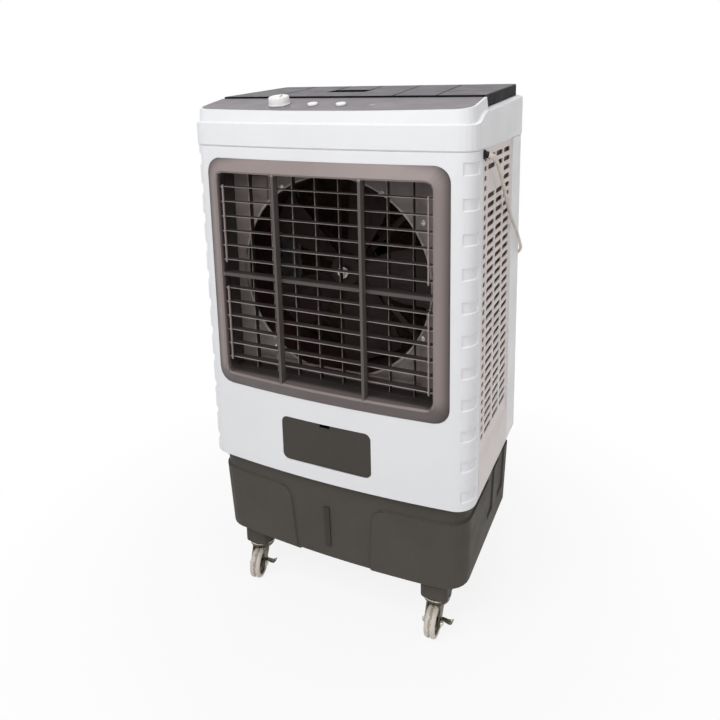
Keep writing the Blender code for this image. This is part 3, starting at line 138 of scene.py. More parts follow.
class Graph:
    """Short way to add and join nodes of one material."""

    def __init__(self, name):
        self.material = bpy.data.materials.new(name)
        self.material.use_nodes = True
        self.tree = self.material.node_tree
        self.shader = self.tree.nodes["Principled BSDF"]

    def add(self, kind, **settings):
        node = self.tree.nodes.new(kind)
        for key, value in settings.items():
            setattr(node, key, value)
        return node

    def join(self, source, target):
        self.tree.links.new(source, target)

    def feed(self, value, socket):
        """Join an output to a socket, or write a plain value on it."""
        if isinstance(value, bpy.types.NodeSocket):
            self.join(value, socket)
        else:
            socket.default_value = value

    def calc(self, operation, *values, kind="Math", result="Value"):
        """Result of a maths node."""
        node = self.add(f"ShaderNode{kind}", operation=operation)
        for value, socket in zip(values, node.inputs):
            self.feed(value, socket)
        return node.outputs[result]

    def times(self, first, second):
        return self.calc("MULTIPLY", first, second)

    def coords(self, kind="Object"):
        return self.add("ShaderNodeTexCoord").outputs[kind]

    def geometry(self, kind):
        return self.add("ShaderNodeNewGeometry").outputs[kind]

    def split(self, vector):
        """X, Y and Z of a vector."""
        node = self.add("ShaderNodeSeparateXYZ")
        self.join(vector, node.inputs["Vector"])
        return node.outputs

    def facing(self):
        """Direction of the flat face, in the part's own axes."""
        turn = self.add("ShaderNodeVectorTransform", vector_type="NORMAL",
                        convert_from="WORLD", convert_to="OBJECT")
        self.join(self.geometry("True Normal"), turn.inputs["Vector"])
        return self.split(turn.outputs["Vector"])

    def noise(self, scale, detail=3.0, stretch=(1.0, 1.0, 1.0)):
        mapping = self.add("ShaderNodeMapping")
        mapping.inputs["Scale"].default_value = stretch
        self.join(self.coords(), mapping.inputs["Vector"])
        node = self.add("ShaderNodeTexNoise")
        for key, number in (("Scale", scale), ("Detail", detail), ("Roughness", 0.55)):
            node.inputs[key].default_value = number
        self.join(mapping.outputs["Vector"], node.inputs["Vector"])
        return node.outputs["Fac"]

    def remap(self, value, low, high, out_low=0.0, out_high=1.0):
        node = self.add("ShaderNodeMapRange", interpolation_type="SMOOTHSTEP")
        for key, number in zip(("From Min", "From Max", "To Min", "To Max"), (low, high, out_low, out_high)):
            node.inputs[key].default_value = number
        self.join(value, node.inputs["Value"])
        return node.outputs["Result"]

    def mix(self, share, first, second):
        """Two colours mixed."""
        node = self.add("ShaderNodeMix", data_type="RGBA")
        self.join(share, node.inputs["Factor"])
        for key, value in (("A", first), ("B", second)):
            socket = [s for s in node.inputs if s.name == key and s.type == "RGBA"][0]
            self.feed((*value, 1.0) if isinstance(value, tuple) else value, socket)
        return [s for s in node.outputs if s.type == "RGBA"][0]

    def patches(self, scale, detail, first, second, low=0.3, high=0.7):
        """Two colours in soft patches."""
        return self.mix(self.remap(self.noise(scale, detail), low, high), first, second)

    def worn(self, radius, scale, low, high, least, most):
        """Share of wear: none on the faces, in patches along the edges."""
        bevel = self.add("ShaderNodeBevel", samples=4)
        bevel.inputs["Radius"].default_value = radius
        same = self.calc("DOT_PRODUCT", bevel.outputs["Normal"], self.geometry("Normal"), kind="VectorMath")
        return self.times(self.remap(same, 0.99, 0.80), self.remap(self.noise(scale), low, high, least, most))

    def bump(self, height, depth, strength, under=None):
        node = self.add("ShaderNodeBump")
        node.inputs["Strength"].default_value = strength
        node.inputs["Distance"].default_value = depth
        self.join(height, node.inputs["Height"])
        if under is not None:
            self.join(under, node.inputs["Normal"])
        return node.outputs["Normal"]

    def grain(self, scale=1400.0, depth=0.00006, strength=0.6, detail=2.0):
        """Fine surface texture."""
        return self.bump(self.noise(scale, detail), depth, strength)

    def finish(self, colour, gloss, normal, level=0.5):
        """Finished material; gloss gives a noise's scale and detail, and the range of the roughness."""
        scale, detail, low, high = gloss
        rough = self.remap(self.noise(scale, detail), 0.3, 0.7, low, high)
        for key, source in (("Base Color", colour), ("Roughness", rough), ("Normal", normal)):
            self.join(source, self.shader.inputs[key])
        self.shader.inputs["Specular IOR Level"].default_value = level
        return self.material


def shade(colour, factor):
    """A colour made lighter or darker."""
    return tuple(min(1.0, channel * factor) for channel in colour)


def srgb(red, green, blue):
    """Linear colour of an 8-bit screen colour."""
    def linear(value):
        value /= 255
        return value / 12.92 if value <= 0.04045 else ((value + 0.055) / 1.055) ** 2.4
    return (linear(red), linear(green), linear(blue))


def front_edge(name):
    """Foremost depth of a solid, in its own axes."""
    return min(vertex.co.y for vertex in nodes[name].data.vertices)


def moulded(name, screen, rough, grain=1400.0, depth=0.00006, mottle=0.05, wear=1.25, level=0.5, speck=0.35):
    """Moulded plastic: fine texture, slow tone change, rubbed edges and dust in the roughness."""
    g = Graph(name)
    colour = srgb(*screen)
    tone = g.patches(5.0, 4.0, shade(colour, 1 - mottle), shade(colour, 1 + mottle))
    dotted = g.mix(g.remap(g.noise(260.0, 2.0), 0.60, 0.78, 0.0, speck), tone, shade(colour, 0.80))
    rubbed = g.mix(g.worn(*EDGE_WEAR), dotted, shade(colour, wear))
    waves = g.bump(g.noise(14.0, 2.0), 0.0006, 0.10, g.grain(grain, depth))
    return g.finish(rubbed, (18.0, 5.0, rough - 0.06, rough + 0.07), waves, level)


def plated(name, screen, rough, tarnish):
    """Plated steel with drawn streaks, dull patches and bright edges."""
    g = Graph(name)
    colour = srgb(*screen)
    body = g.patches(70.0, 5.0, colour, srgb(*tarnish), 0.42, 0.68)
    rubbed = g.mix(g.worn(0.0012, 90.0, 0.35, 0.6, 0.2, 0.9), body, shade(colour, 1.5))
    streaks = g.bump(g.noise(120.0, 2.0, (1.0, 1.0, 14.0)), 0.0001, 0.35)
    g.shader.inputs["Metallic"].default_value = 1.0
    return g.finish(rubbed, (55.0, 4.0, rough - 0.08, rough + 0.12), streaks)


def lid_with_painted_shade():
    """Satin grey lid top, with painted shade on its sides and a painted shadow along its front edge."""
    g = Graph("lid_grey_painted_shade")
    front = front_edge("top_lid")
    # Painted shade: faces other than the top, and a strip along the front edge, get the near-black colour in place
    # of shade and a shadow gap.
    top = g.times(g.remap(g.calc("ABSOLUTE", g.facing()["Z"]), 0.55, 0.9),
                  g.remap(g.split(g.coords())["Y"], front + 0.0050, front + 0.0075))
    grey = srgb(109, 106, 110)
    body = g.mix(top, srgb(15, 16, 19), g.patches(4.0, 3.0, shade(grey, 0.94), shade(grey, 1.06)))
    rubbed = g.mix(g.worn(0.0012, 60.0, 0.4, 0.65, 0.0, 0.35), body, shade(grey, 1.3))
    return g.finish(rubbed, (22.0, 5.0, 0.34, 0.46), g.grain(900.0, 0.00004, 0.5), 0.015)


def shroud_with_painted_shade():
    """Taupe plate with painted shade: dark reddish inside its ring, and darker on faces that do not face forward.
    """
    g = Graph("shroud_taupe")
    centre = nodes["fan_shroud"].matrix_world.inverted() @ Vector((0.0, PLATE_Y, MID_Z))
    spot = g.calc("SUBTRACT", g.coords(), centre, kind="VectorMath", result="Vector")
    flat = g.calc("MULTIPLY", spot, (1.0, 0.0, 1.0), kind="VectorMath", result="Vector")
    reach = g.calc("LENGTH", flat, kind="VectorMath")
    inside = g.times(g.remap(reach, RING_R + 0.0012, RING_R + 0.0004),
                     g.remap(g.split(spot)["Y"], 0.0006, 0.0022))
    taupe = srgb(150, 140, 137)
    plate = g.patches(7.0, 4.0, shade(taupe, 0.92), shade(taupe, 1.06))
    # Dark reddish patches: painted shade inside the ring.
    painted_ring_shade = g.patches(12.0, 4.0, srgb(48, 37, 38), srgb(76, 50, 51), 0.35, 0.65)
    # Faces that do not face forward get a darker taupe: painted shade.
    forward = g.remap(g.split(g.coords("Normal"))["Y"], -0.3, -0.8)
    body = g.mix(inside, g.mix(forward, srgb(72, 66, 65), plate), painted_ring_shade)
    return g.finish(body, (18.0, 5.0, 0.42, 0.56), g.grain(), 0.3)


def pad_finish():
    """Brown cellulose with darker damp patches and paper fibre."""
    g = Graph("pad_cellulose")
    brown = srgb(104, 84, 71)
    damp = g.patches(9.0, 5.0, shade(brown, 0.55), shade(brown, 1.15), 0.35, 0.65)
    fibre = g.remap(g.noise(420.0, 4.0, (1.0, 1.0, 0.2)), 0.45, 0.7, 0.0, 0.5)
    body = g.mix(fibre, damp, shade(brown, 1.5))
    return g.finish(body, (60.0, 3.0, 0.80, 0.98), g.grain(500.0, 0.0004, 0.6, 3.0))


def sheath_finish():
    """Soft off-white cable sheath with faint scuffs."""
    g = Graph("sheath")
    cream = srgb(222, 213, 203)
    tone = g.patches(30.0, 4.0, shade(cream, 0.90), shade(cream, 1.04), 0.35, 0.65)
    body = g.mix(g.remap(g.noise(160.0, 3.0), 0.62, 0.75, 0.0, 0.5), tone, shade(cream, 0.70))
    return g.finish(body, (80.0, 3.0, 0.40, 0.58), g.grain(700.0, 0.00008, 0.5))


def slat_with_painted_light(name, front, lift):
    """Taupe slat with a painted highlight on its front edge, brightened by lift, and painted shade behind it."""
    g = Graph(name)
    # Front edge: pale painted highlight; behind it: dark painted shade.
    edge = g.remap(g.split(g.coords())["Y"], front + 0.0010, front + 0.0034, 1.0, 0.0)
    pale = g.patches(40.0, 3.0, shade(srgb(160, 150, 147), lift), shade(srgb(176, 166, 162), lift))
    dull = g.patches(9.0, 4.0, srgb(54, 49, 48), srgb(66, 60, 59))
    return g.finish(g.mix(edge, dull, pale), (18.0, 5.0, 0.40, 0.54), g.grain(), 0.3)


def bezel_with_painted_shade():
    """Taupe frame with painted shade on its lower flank, on its bars and towards the back of its opening."""
    g = Graph("bezel_taupe")
    where = g.split(g.coords())
    lip = front_edge("louver_bezel")
    low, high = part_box("louver_bezel")
    middle = nodes["louver_bezel"].matrix_world.inverted() @ ((low + high) / 2)
    foot = middle.z - (high.z - low.z) / 2
    taupe = srgb(146, 134, 132)
    face = g.patches(5.0, 4.0, shade(taupe, 0.97), shade(taupe, 1.03))
    rubbed = g.mix(g.worn(*EDGE_WEAR), face, shade(taupe, 1.15))
    # Painted shade on the lower flank: low faces that face down get darker.
    under = g.times(g.remap(where["Z"], foot + 0.060, foot + 0.026),
                    g.remap(g.split(g.coords("Normal"))["Z"], 0.30, -0.30, 0.35, 1.0))
    flank = g.mix(under, rubbed, shade(taupe, 0.48))
    # Painted shade on the bars and rail inside the frame's border.
    within = []
    for index, axis in ((0, "X"), (2, "Z")):
        half = (high[index] - low[index]) / 2 - BEZEL_BORDER
        off = g.calc("ABSOLUTE", g.calc("SUBTRACT", where[axis], middle[index]))
        within.append(g.remap(off, half, half - 0.001))
    bar_shaded = g.mix(g.times(*within), flank, srgb(92, 86, 84))
    # Painted shade that deepens towards the back of the opening.
    deep = g.remap(where["Y"], lip + 0.0140, lip + 0.0300)
    return g.finish(g.mix(deep, bar_shaded, srgb(58, 53, 52)), (18.0, 5.0, 0.38, 0.51), g.grain(), 0.3)


WHITE = moulded("shell_white", (238, 239, 241), 0.36, mottle=0.012, wear=0.95, level=0.40, speck=0.12)
TAUPE = moulded("frame_taupe", (146, 134, 132), 0.44, mottle=0.03, wear=1.15, level=0.30, speck=0.2)
PANEL = moulded("panel_satin", (128, 123, 127), 0.40, 900.0, 0.00003, mottle=0.02, level=0.12, speck=0.1)
TANK = moulded("tank_charcoal", (85, 81, 76), 0.54, 800.0, 0.00012, mottle=0.06, wear=1.3, level=0.06)
DOOR = moulded("door_charcoal", (75, 71, 67), 0.50, 800.0, 0.00012, mottle=0.05, wear=1.3, level=0.08)
# Paler copy of the taupe: a painted highlight along the fan ring's lip.
LIP_HIGHLIGHT = moulded("ring_lip_painted_highlight", (204, 194, 190), 0.42, mottle=0.03, wear=1.05, level=0.30, speck=0.2)
COVER = moulded("cover_ivory", (236, 228, 225), 0.46, mottle=0.025, wear=0.92, level=0.35)
BLACK = moulded("black_satin", (34, 33, 34), 0.42, mottle=0.12, wear=1.6)
FAN_DARK = moulded("fan_dark", (58, 46, 46), 0.46, mottle=0.10, wear=1.4, level=0.12)
KNOB = moulded("knob_white", (240, 240, 239), 0.28, mottle=0.012, wear=0.93)
TYRE = moulded("wheel_ivory", (214, 206, 196), 0.46, mottle=0.06, wear=0.85)
# Darker copies of the tyre colour: painted shade in the tread groove and in the sunk web.
GROOVE_SHADE = moulded("tread_groove_painted_shade", (168, 158, 146), 0.52, mottle=0.08, wear=0.9)
RECESS = moulded("wheel_shade", (92, 83, 73), 0.55, mottle=0.12, wear=1.3)
PIPE = moulded("pipe_grey", (196, 196, 191), 0.36, mottle=0.04, wear=1.1)
GAUGE = moulded("gauge_dark", (66, 62, 58), 0.48, mottle=0.05, wear=1.3, level=0.12)
PRINT = moulded("print_white", (222, 220, 220), 0.50, mottle=0.03, wear=0.95)
GASKET = moulded("lid_gasket", (36, 36, 40), 0.60, mottle=0.10, wear=1.1, level=0.01)
RUBBER = moulded("gland_black", (12, 12, 13), 0.40, mottle=0.12, wear=2.0, level=0.25)
STEEL = plated("fork_bronze", (104, 97, 84), 0.42, (66, 60, 50))
LEVER = plated("lever_zinc", (168, 163, 148), 0.40, (112, 106, 92))
BRIGHT = plated("bolt_zinc", (205, 203, 198), 0.30, (150, 146, 136))
MOTOR = plated("motor_case", (70, 69, 72), 0.48, (44, 43, 46))
PAPER = pad_finish()
SHEATH = sheath_finish()
BY_SLOT = {"white_shell": WHITE, "taupe_frame": TAUPE, "charcoal_tank": TANK, "lid_grey": lid_with_painted_shade(),
           "cover_ivory": COVER, "pad_paper": PAPER, "black_plastic": BLACK, "knob_white": KNOB,
           "zinc_steel": STEEL, "motor_steel": MOTOR, "wheel_grey": TYRE, "pipe_plastic": PIPE,
           "gauge_plastic": GAUGE, "lead_white": SHEATH}
BY_NODE = {"control_panel": PANEL, "fill_door": DOOR, "fan": FAN_DARK, "fan_shroud": shroud_with_painted_shade(),
           "louver_bezel": bezel_with_painted_shade()}
# lift brightens the painted highlight on each kind of slat's front edge.
for kind, count, lift in (("upper_blade", 6, 1.4), ("lower_blade", 6, 1.4), ("swing_vane", 8, 2.0)):
    finish = slat_with_painted_light(f"{kind}_taupe", front_edge(f"{kind}_1"), lift)
    for number in range(1, count + 1):
        BY_NODE[f"{kind}_{number}"] = finish
for node_name, node in nodes.items():
    node.data.materials.clear()
    node.data.materials.append(BY_NODE.get(node_name, BY_SLOT[slots[node_name]]))


# Mesh helpers

CORNERS = ((1, 1, 0), (-1, 1, 90), (-1, -1, 180), (1, -1, 270))


def mesh_of(name, bm):
    """Mesh of a finished bmesh."""
    mesh = bpy.data.meshes.new(name)
    bm.to_mesh(mesh)
    bm.free()
    return mesh


def piece(name, bm, materials, body, sharp=35):
    """Finished piece that rides on a body."""
    bmesh.ops.recalc_face_normals(bm, faces=bm.faces)
    mesh = mesh_of(name, bm)
    mesh.shade_smooth()
    mesh.set_sharp_from_angle(angle=radians(sharp))
    for material in materials:
        mesh.materials.append(material)
    made = stand(name, mesh)
    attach(made, body)
    return made


def circle(count):
    """Cosine and sine of evenly spaced angles."""
    angles = [2 * pi * i / count for i in range(count)]
    return [(cos(t), sin(t)) for t in angles]


def band(bm, low, high):
    """Faces between two equal loops."""
    corners = zip(low, low[1:] + low[:1], high[1:] + high[:1], high)
    return [bm.faces.new(four) for four in corners]


def skin(bm, rings, closed=False, index=0):
    """Skin equal rings; an open row gets end caps."""
    loops = [[bm.verts.new(point) for point in ring] for ring in rings]
    faces = []
    for low, high in zip(loops, loops[1:] + loops[:1] if closed else loops[1:]):
        faces += band(bm, low, high)
    if not closed:
        faces.append(bm.faces.new(list(reversed(loops[0]))))
        faces.append(bm.faces.new(loops[-1]))
    for face in faces:
        face.material_index = index
    return faces


def turned(bm, profile, sides, place, closed=False, index=0, flute=None):
    """Turned form of (radius, height) steps about the Z of a placement."""
    rings = []
    for step, (radius, height) in enumerate(profile):
        ring = []
        for i, (c, s) in enumerate(circle(sides)):
            r = radius * (flute(step, i) if flute else 1.0)
            ring.append(place @ Vector((r * c, r * s, height)))
        rings.append(ring)
    return skin(bm, rings, closed, index)


def rounded_box(bm, size, place, radius, index=0):
    """Box with round upright corners and a softened top edge."""
    sx, sy, sz = size
    rings = []
    for inset, z in ((0.0, 0.0), (0.0, sz - radius * 0.6), (radius * 0.2, sz - radius * 0.2),
                     (radius * 0.6, sz)):
        ring = []
        for cx, cy, start in CORNERS:
            for step in range(4):
                t = radians(start + 30 * step)
                reach = radius - inset * 0.5
                x = cx * (sx / 2 - radius) + reach * cos(t) - cx * inset * 0.5
                y = cy * (sy / 2 - radius) + reach * sin(t) - cy * inset * 0.5
                ring.append(place @ Vector((x, y, z)))
        rings.append(ring)
    return skin(bm, rings, index=index)


def smooth(t):
    """Ease from 0 to 1 with level ends."""
    t = min(max(t, 0.0), 1.0)
    return t * t * (3 - 2 * t)


# Mains lead: gland, cord, coil with its tie, and plug

GLAND = Vector((0.3070, -0.111, 1.0273))
OUT = Vector((1.0, 0.0, 0.0))
AWAY = Vector((0.0, cos(radians(30)), -sin(radians(30))))
SLEEVE_START = GLAND + OUT * 0.0045
SLEEVE_BEND = 0.0095
SLEEVE_TURN = radians(80)
SLEEVE_TAIL = 0.014
ELBOW_R = 0.0066
SLEEVE_R = 0.0056
HOOK_X = 0.2615
HOOK_Z = 0.7313
# Way past the side, share of the way to the rear, drop below the gland
SIDE_RUN = ((0.0140, 0.162, 0.0395), (0.0128, 0.268, 0.0700), (0.0110, 0.399, 0.1090),
            (0.0095, 0.545, 0.1490), (0.0080, 0.684, 0.1800), (0.0070, 0.795, 0.2050),
            (0.0063, 0.880, 0.2290), (0.0060, 0.940, 0.2465))
# Way beside the hook, behind the rear and above the hook
HOOK_RUN = mm((52.2, -5.4, 33), (42, 4.8, 22), (28, 8.6, 12.5), (14, 8.4, 4.5), (0, 8, 0), (-14, 8, -0.4),
              (-29, 8.4, -4.6), (-40, 9, -15.5), (-44.3, 9.8, -31))
# Way beside the hook and behind the rear, share of the hook's height
DROP_RUN = ((-0.0447, 0.0106, 0.935), (-0.0452, 0.0120, 0.800), (-0.0457, 0.0135, 0.610),
            (-0.0462, 0.0150, 0.405), (-0.0467, 0.0160, 0.200), (-0.0470, 0.0167, 0.085),
            (-0.0473, 0.0172, 0.0475), (-0.0508, 0.0198, 0.0237), (-0.0610, 0.0275, 0.0064),
            (-0.0750, 0.0380, 0.0), (-0.0890, 0.0500, 0.0), (-0.1120, 0.0690, 0.0))
COIL_X, COIL_Y = HOOK_X - 0.180, 0.24285
COIL_MEAN_R = 5.5 * CORD_D
COIL_PITCH = CORD_D + 0.0006
COIL_TURNS = 3.0
COIL_POINTS = 24
PLUG_LEAD = 0.026
PIN_OFF = 0.0055
ROUTE_STEP = 3.1 * CORD_D
LEAD_STEP = 1.2 * CORD_D
COIL_APPROACH = 0.030
TIE_REACH = 0.0092


def sleeve_station(turn, past=0.0):
    """Place and direction on the sleeve's centre line, on its bend or past it."""
    place = SLEEVE_START + SLEEVE_BEND * (OUT * sin(turn) + AWAY * (1 - cos(turn)))
    way = OUT * cos(turn) + AWAY * sin(turn)
    return place + way * past, way


def spline(points, spacing):
    """Evenly spaced points on a smooth curve through given points."""
    route = [Vector(point) for point in points]
    ends = [2 * route[0] - route[1]] + route + [2 * route[-1] - route[-2]]
    fine = []
    for p0, p1, p2, p3 in zip(ends, ends[1:], ends[2:], ends[3:]):
        for step in range(20):
            t = step / 20
            fine.append(0.5 * (2 * p1 + (p2 - p0) * t + (2 * p0 - 5 * p1 + 4 * p2 - p3) * t * t
                               + (3 * p1 - p0 - 3 * p2 + p3) * t * t * t))
    fine.append(route[-1])
    travel = [0.0]
    for here, there in zip(fine, fine[1:]):
        travel.append(travel[-1] + (there - here).length)
    count = max(2, round(travel[-1] / spacing))
    even = []
    index = 0
    for number in range(count + 1):
        goal = travel[-1] * number / count
        while index < len(travel) - 2 and travel[index + 1] < goal:
            index += 1
        share = (goal - travel[index]) / (travel[index + 1] - travel[index])
        even.append(fine[index].lerp(fine[index + 1], min(share, 1.0)))
    return even


def coil_points():
    """Two layers that spiral in, climb where the spiral turns, and spiral out again."""
    count = round(COIL_TURNS * COIL_POINTS)
    half = count / 2
    points = []
    for i in range(count + 1):
        turns_from_middle = abs(i - half) / COIL_POINTS
        radius = COIL_MEAN_R + COIL_PITCH * (turns_from_middle - COIL_TURNS / 4)
        climb = smooth((i - half) / (COIL_POINTS / 2) + 0.5)
        angle = pi / 2 + 2 * pi * i / COIL_POINTS
        points.append(Vector((COIL_X + radius * cos(angle), COIL_Y + radius * sin(angle),
                              CORD_D / 2 + GAP + COIL_PITCH * climb)))
    lead_in = (points[0] - points[1]).normalized() * CORD_D
    lead_out = (points[-1] - points[-2]).normalized() * PLUG_LEAD
    lead_in.z = 0.0
    lead_out.z = 0.0
    return [points[0] + lead_in] + points + [points[-1] + lead_out]


def gland():
    """Black flange and elbow, and the pale ribbed sleeve that leaves it."""
    bm = bmesh.new()
    elbow = [(GLAND + OUT * depth, OUT, radius) for depth, radius in
             mm((0, 8.6), (0.8, 9.3), (3, 9.3), (4, 8.4), (4.4, 6.8))]
    elbow += [(*sleeve_station(SLEEVE_TURN * step / 10), ELBOW_R) for step in range(4)]
    sleeve = [(*sleeve_station(SLEEVE_TURN * step / 10), SLEEVE_R) for step in range(2, 11)]
    for step in range(1, 13):
        radius = SLEEVE_R - 0.0010 * step / 12 - (0.0006 if step % 3 == 1 else 0.0)
        sleeve.append((*sleeve_station(SLEEVE_TURN, SLEEVE_TAIL * step / 12), radius))
    across = OUT.cross(AWAY)
    for index, stations in enumerate((elbow, sleeve)):
        rings = []
        for place, direction, radius in stations:
            side = across.cross(direction)
            rings.append([place + side * radius * c + across * radius * s for c, s in circle(24)])
        skin(bm, rings, index=index)
    made = piece("lead_gland", bm, [RUBBER, SHEATH], "cabinet")
    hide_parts("cord_gland")


def plug(end, direction):
    """Moulded plug with grip ribs and two bright pins."""
    bm = bmesh.new()
    place = at(*end) @ direction.to_track_quat("Z", "Y").to_matrix().to_4x4()
    profile = [(0.0046, GAP), (0.0048, 0.003), (0.0042, 0.0045), (0.0051, 0.006), (0.0045, 0.0075),
               (0.0054, 0.009), (0.0050, 0.0105), (0.0058, 0.014), (0.0100, 0.0200), (0.0105, 0.0230)]
    for rib in range(4):
        base = 0.025 + 0.0045 * rib
        profile += [(0.0110, base), (0.0102, base + 0.0015), (0.0102, base + 0.0025), (0.0110, base + 0.0035)]
    profile += [(0.0110, 0.0465), (0.0100, 0.0490), (0.0090, 0.0500)]
    turned(bm, profile, 28, place)
    pin = mm((2.1, 49), (2.1, 64), (1.6, 65.5), (0.8, 66))
    for side in (-1, 1):
        turned(bm, pin, 12, place @ at(0.0, side * PIN_OFF, 0.0), index=1)
    made = piece("lead_plug", bm, [SHEATH, BRIGHT], "cabinet")
    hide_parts("mains_plug")
    return made


def coil_tie():
    """Flat strap round the turns of the coil."""
    bm = bmesh.new()
    rings = []
    angle = radians(-20)
    radial = Vector((cos(angle), sin(angle), 0.0))
    along = Vector((-sin(angle), cos(angle), 0.0))
    low, high = 0.0002, 2 * CORD_D + 0.0016
    inner, outer = COIL_MEAN_R - TIE_REACH, COIL_MEAN_R + TIE_REACH
    middle = Vector((COIL_X, COIL_Y, 0.0)) + radial * (inner + outer) / 2
    half_r, half_z = (outer - inner) / 2, (high - low) / 2
    for grow, width in mm((0, 4.5), (1, 4), (1, -4), (0, -4.5)):
        ring = []
        for c, s in circle(24):
            squeeze = (abs(c) ** 4 + abs(s) ** 4) ** -0.25
            lift = Vector((0, 0, max(low, (low + high) / 2 + (half_z + grow) * s * squeeze)))
            ring.append(middle + radial * (half_r + grow) * c * squeeze + along * width + lift)
        rings.append(ring)
    skin(bm, rings, closed=True)
    return piece("coil_tie", bm, [BLACK], "cabinet")


def mains_lead():
    """One curve from the gland to the plug."""
    start, direction = sleeve_station(SLEEVE_TURN, SLEEVE_TAIL)
    coil = coil_points()
    first = start + direction * GAP
    coil_way = (coil[1] - coil[0]).normalized()
    last = coil[0] - coil_way * GAP
    over = HOOK_Z + CORD_D / 2 + 4 * GAP
    floor = CORD_D / 2 + GAP
    route = [first + direction * 1.5 * CORD_D]
    route += [(HALF_W + out, GLAND.y + share * (REAR - GLAND.y), GLAND.z - drop)
              for out, share, drop in SIDE_RUN]
    route += [(HOOK_X + side, REAR + behind, over + rise) for side, behind, rise in HOOK_RUN]
    route += [(HOOK_X + side, REAR + behind, floor + share * (HOOK_Z - floor))
              for side, behind, share in DROP_RUN]
    route += [last - coil_way * COIL_APPROACH, last - coil_way * CORD_D]
    run = spline(spline(route, ROUTE_STEP), LEAD_STEP)
    eased = [(before + 2 * here + after) / 4 for before, here, after in zip(run, run[1:], run[2:])]
    points = [first, run[0]] + eased + [run[-1]] + coil
    data = bpy.data.curves.new("mains_lead", "CURVE")
    data.dimensions = "3D"
    data.bevel_depth = CORD_D / 2
    data.bevel_resolution = 5
    data.use_fill_caps = True
    line = data.splines.new("POLY")
    line.points.add(len(points) - 1)
    for target, point in zip(line.points, points):
        target.co = (*point, 1.0)
    line.use_smooth = True
    data.materials.append(SHEATH)
    lead = stand("mains_lead", data)
    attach(lead, "cabinet")
    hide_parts("power_cord", "cord_coil")
    gland()
    end = plug(coil[-1], (coil[-1] - coil[-2]).normalized())
    tie = coil_tie()


mains_lead()


# Front shell

SHELL_WALL = 0.0035
# Half width, foot, head and corner radius
OUTLET = (0.2673, OPEN_HIGH - 0.4742, OPEN_HIGH + 0.0293, 0.032)
DOORWAY = (0.1047, DOOR_TOP - 0.1002, DOOR_TOP, 0.014)
GRIP_ROWS = 11
GRIP_PITCH = 0.0651
GRIP_TOP = CROWN_Z - 0.019
# Height from the row's top, depth
GRIP_PROFILE = mm((-23.6, 0.2), (-22.2, 2.2), (-20.4, 3), (-1, 3), (0.2, 2.2), (0.8, 0.2))
GRIP_ANGLES = [radians(-60 + 56 * k / 14) for k in range(15)]
# How far the cutting solids reach past the corner, and from front to back
GRIP_REACH = 1.3
CUT_DEPTHS = (-0.30, -0.10)
SHELL_EDGE = 0.0008


def front_y(x):
    """Depth of the bowed front."""
    return FRONT_Y + BOW * (x / HALF_W) ** 2


def corner_arc(inset):
    """Centre and radius of the shell's right corner, its starting lean and where it joins the front."""
    half, radius = HALF_W - inset, CORNER_R - inset
    lean = 0.0
    for _ in range(4):
        lean = atan(2 * BOW * (half - radius + radius * sin(lean)) / HALF_W ** 2)
    join = half - radius + radius * sin(lean)
    return half - radius, front_y(join) + inset + radius * cos(lean), radius, lean, join


def shell_path(inset):
    """Outline of the shell seen from above, from its left return to its right one."""
    cx, cy, radius, lean, join = corner_arc(inset)
    right = [(join * k / 20, front_y(join * k / 20) + inset) for k in range(20)]
    for step in range(25):
        t = -pi / 2 + lean + (pi / 2 - lean) * step / 24
        right.append((cx + radius * cos(t), cy + radius * sin(t)))
    right.append((HALF_W - inset, RETURN_Y))
    return [(-x, y) for x, y in reversed(right) if x > 0] + right


def window(half, low, high, radius):
    """Round-cornered outline in the front plane."""
    points = []
    for cx, cz, start in CORNERS:
        for step in range(10):
            t = radians(start + 10 * step)
            z = (high - radius if cz > 0 else low + radius) + radius * sin(t)
            points.append((cx * (half - radius) + radius * cos(t), z))
    return points


def shell_cuts():
    """Solids of the two openings and the softly edged grip recesses."""
    bm = bmesh.new()
    for opening in (OUTLET, DOORWAY):
        skin(bm, [[(x, y, z) for x, z in window(*opening)] for y in CUT_DEPTHS])
    cx, cy, radius = corner_arc(BODY_INSET)[:3]
    for row in range(GRIP_ROWS):
        top = GRIP_TOP - GRIP_PITCH * row
        for side in (-1, 1):
            rings = []
            for rise, depth in GRIP_PROFILE:
                line = [(radius - depth, t) for t in GRIP_ANGLES]
                line += [(GRIP_REACH * radius, t) for t in reversed(GRIP_ANGLES)]
                rings.append([(side * (cx + r * cos(t)), cy + r * sin(t), top + rise) for r, t in line])
            skin(bm, rings)
    bmesh.ops.recalc_face_normals(bm, faces=bm.faces)
    return stand("shell_cuts", mesh_of("shell_cuts", bm))


def front_shell():
    """Shell with finely rounded corners, cut and then softened along its edges."""
    bm = bmesh.new()
    outline = shell_path(BODY_INSET) + list(reversed(shell_path(BODY_INSET + SHELL_WALL)))
    skin(bm, [[(x, y, z) for x, y in outline] for z in (BODY_Z, CROWN_Z - GAP)])
    body = piece("front_shell", bm, [WHITE], "cabinet")
    cuts = shell_cuts()
    carve = body.modifiers.new("cuts", "BOOLEAN")
    carve.operation = "DIFFERENCE"
    carve.solver = "EXACT"
    carve.object = cuts
    view = bpy.context.evaluated_depsgraph_get()
    carved = bpy.data.meshes.new_from_object(body.evaluated_get(view))
    body.modifiers.clear()
    body.data = carved
    carved.shade_smooth()
    carved.set_sharp_from_angle(angle=radians(28))
    bpy.data.objects.remove(cuts, do_unlink=True)
    soft = body.modifiers.new("edge", "BEVEL")
    soft.width = SHELL_EDGE
    soft.segments = 2
    soft.limit_method = "ANGLE"
    soft.angle_limit = radians(40)
    even = body.modifiers.new("even", "WEIGHTED_NORMAL")
    even.keep_sharp = True
    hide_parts("front_housing")


front_shell()


# Slotted covers

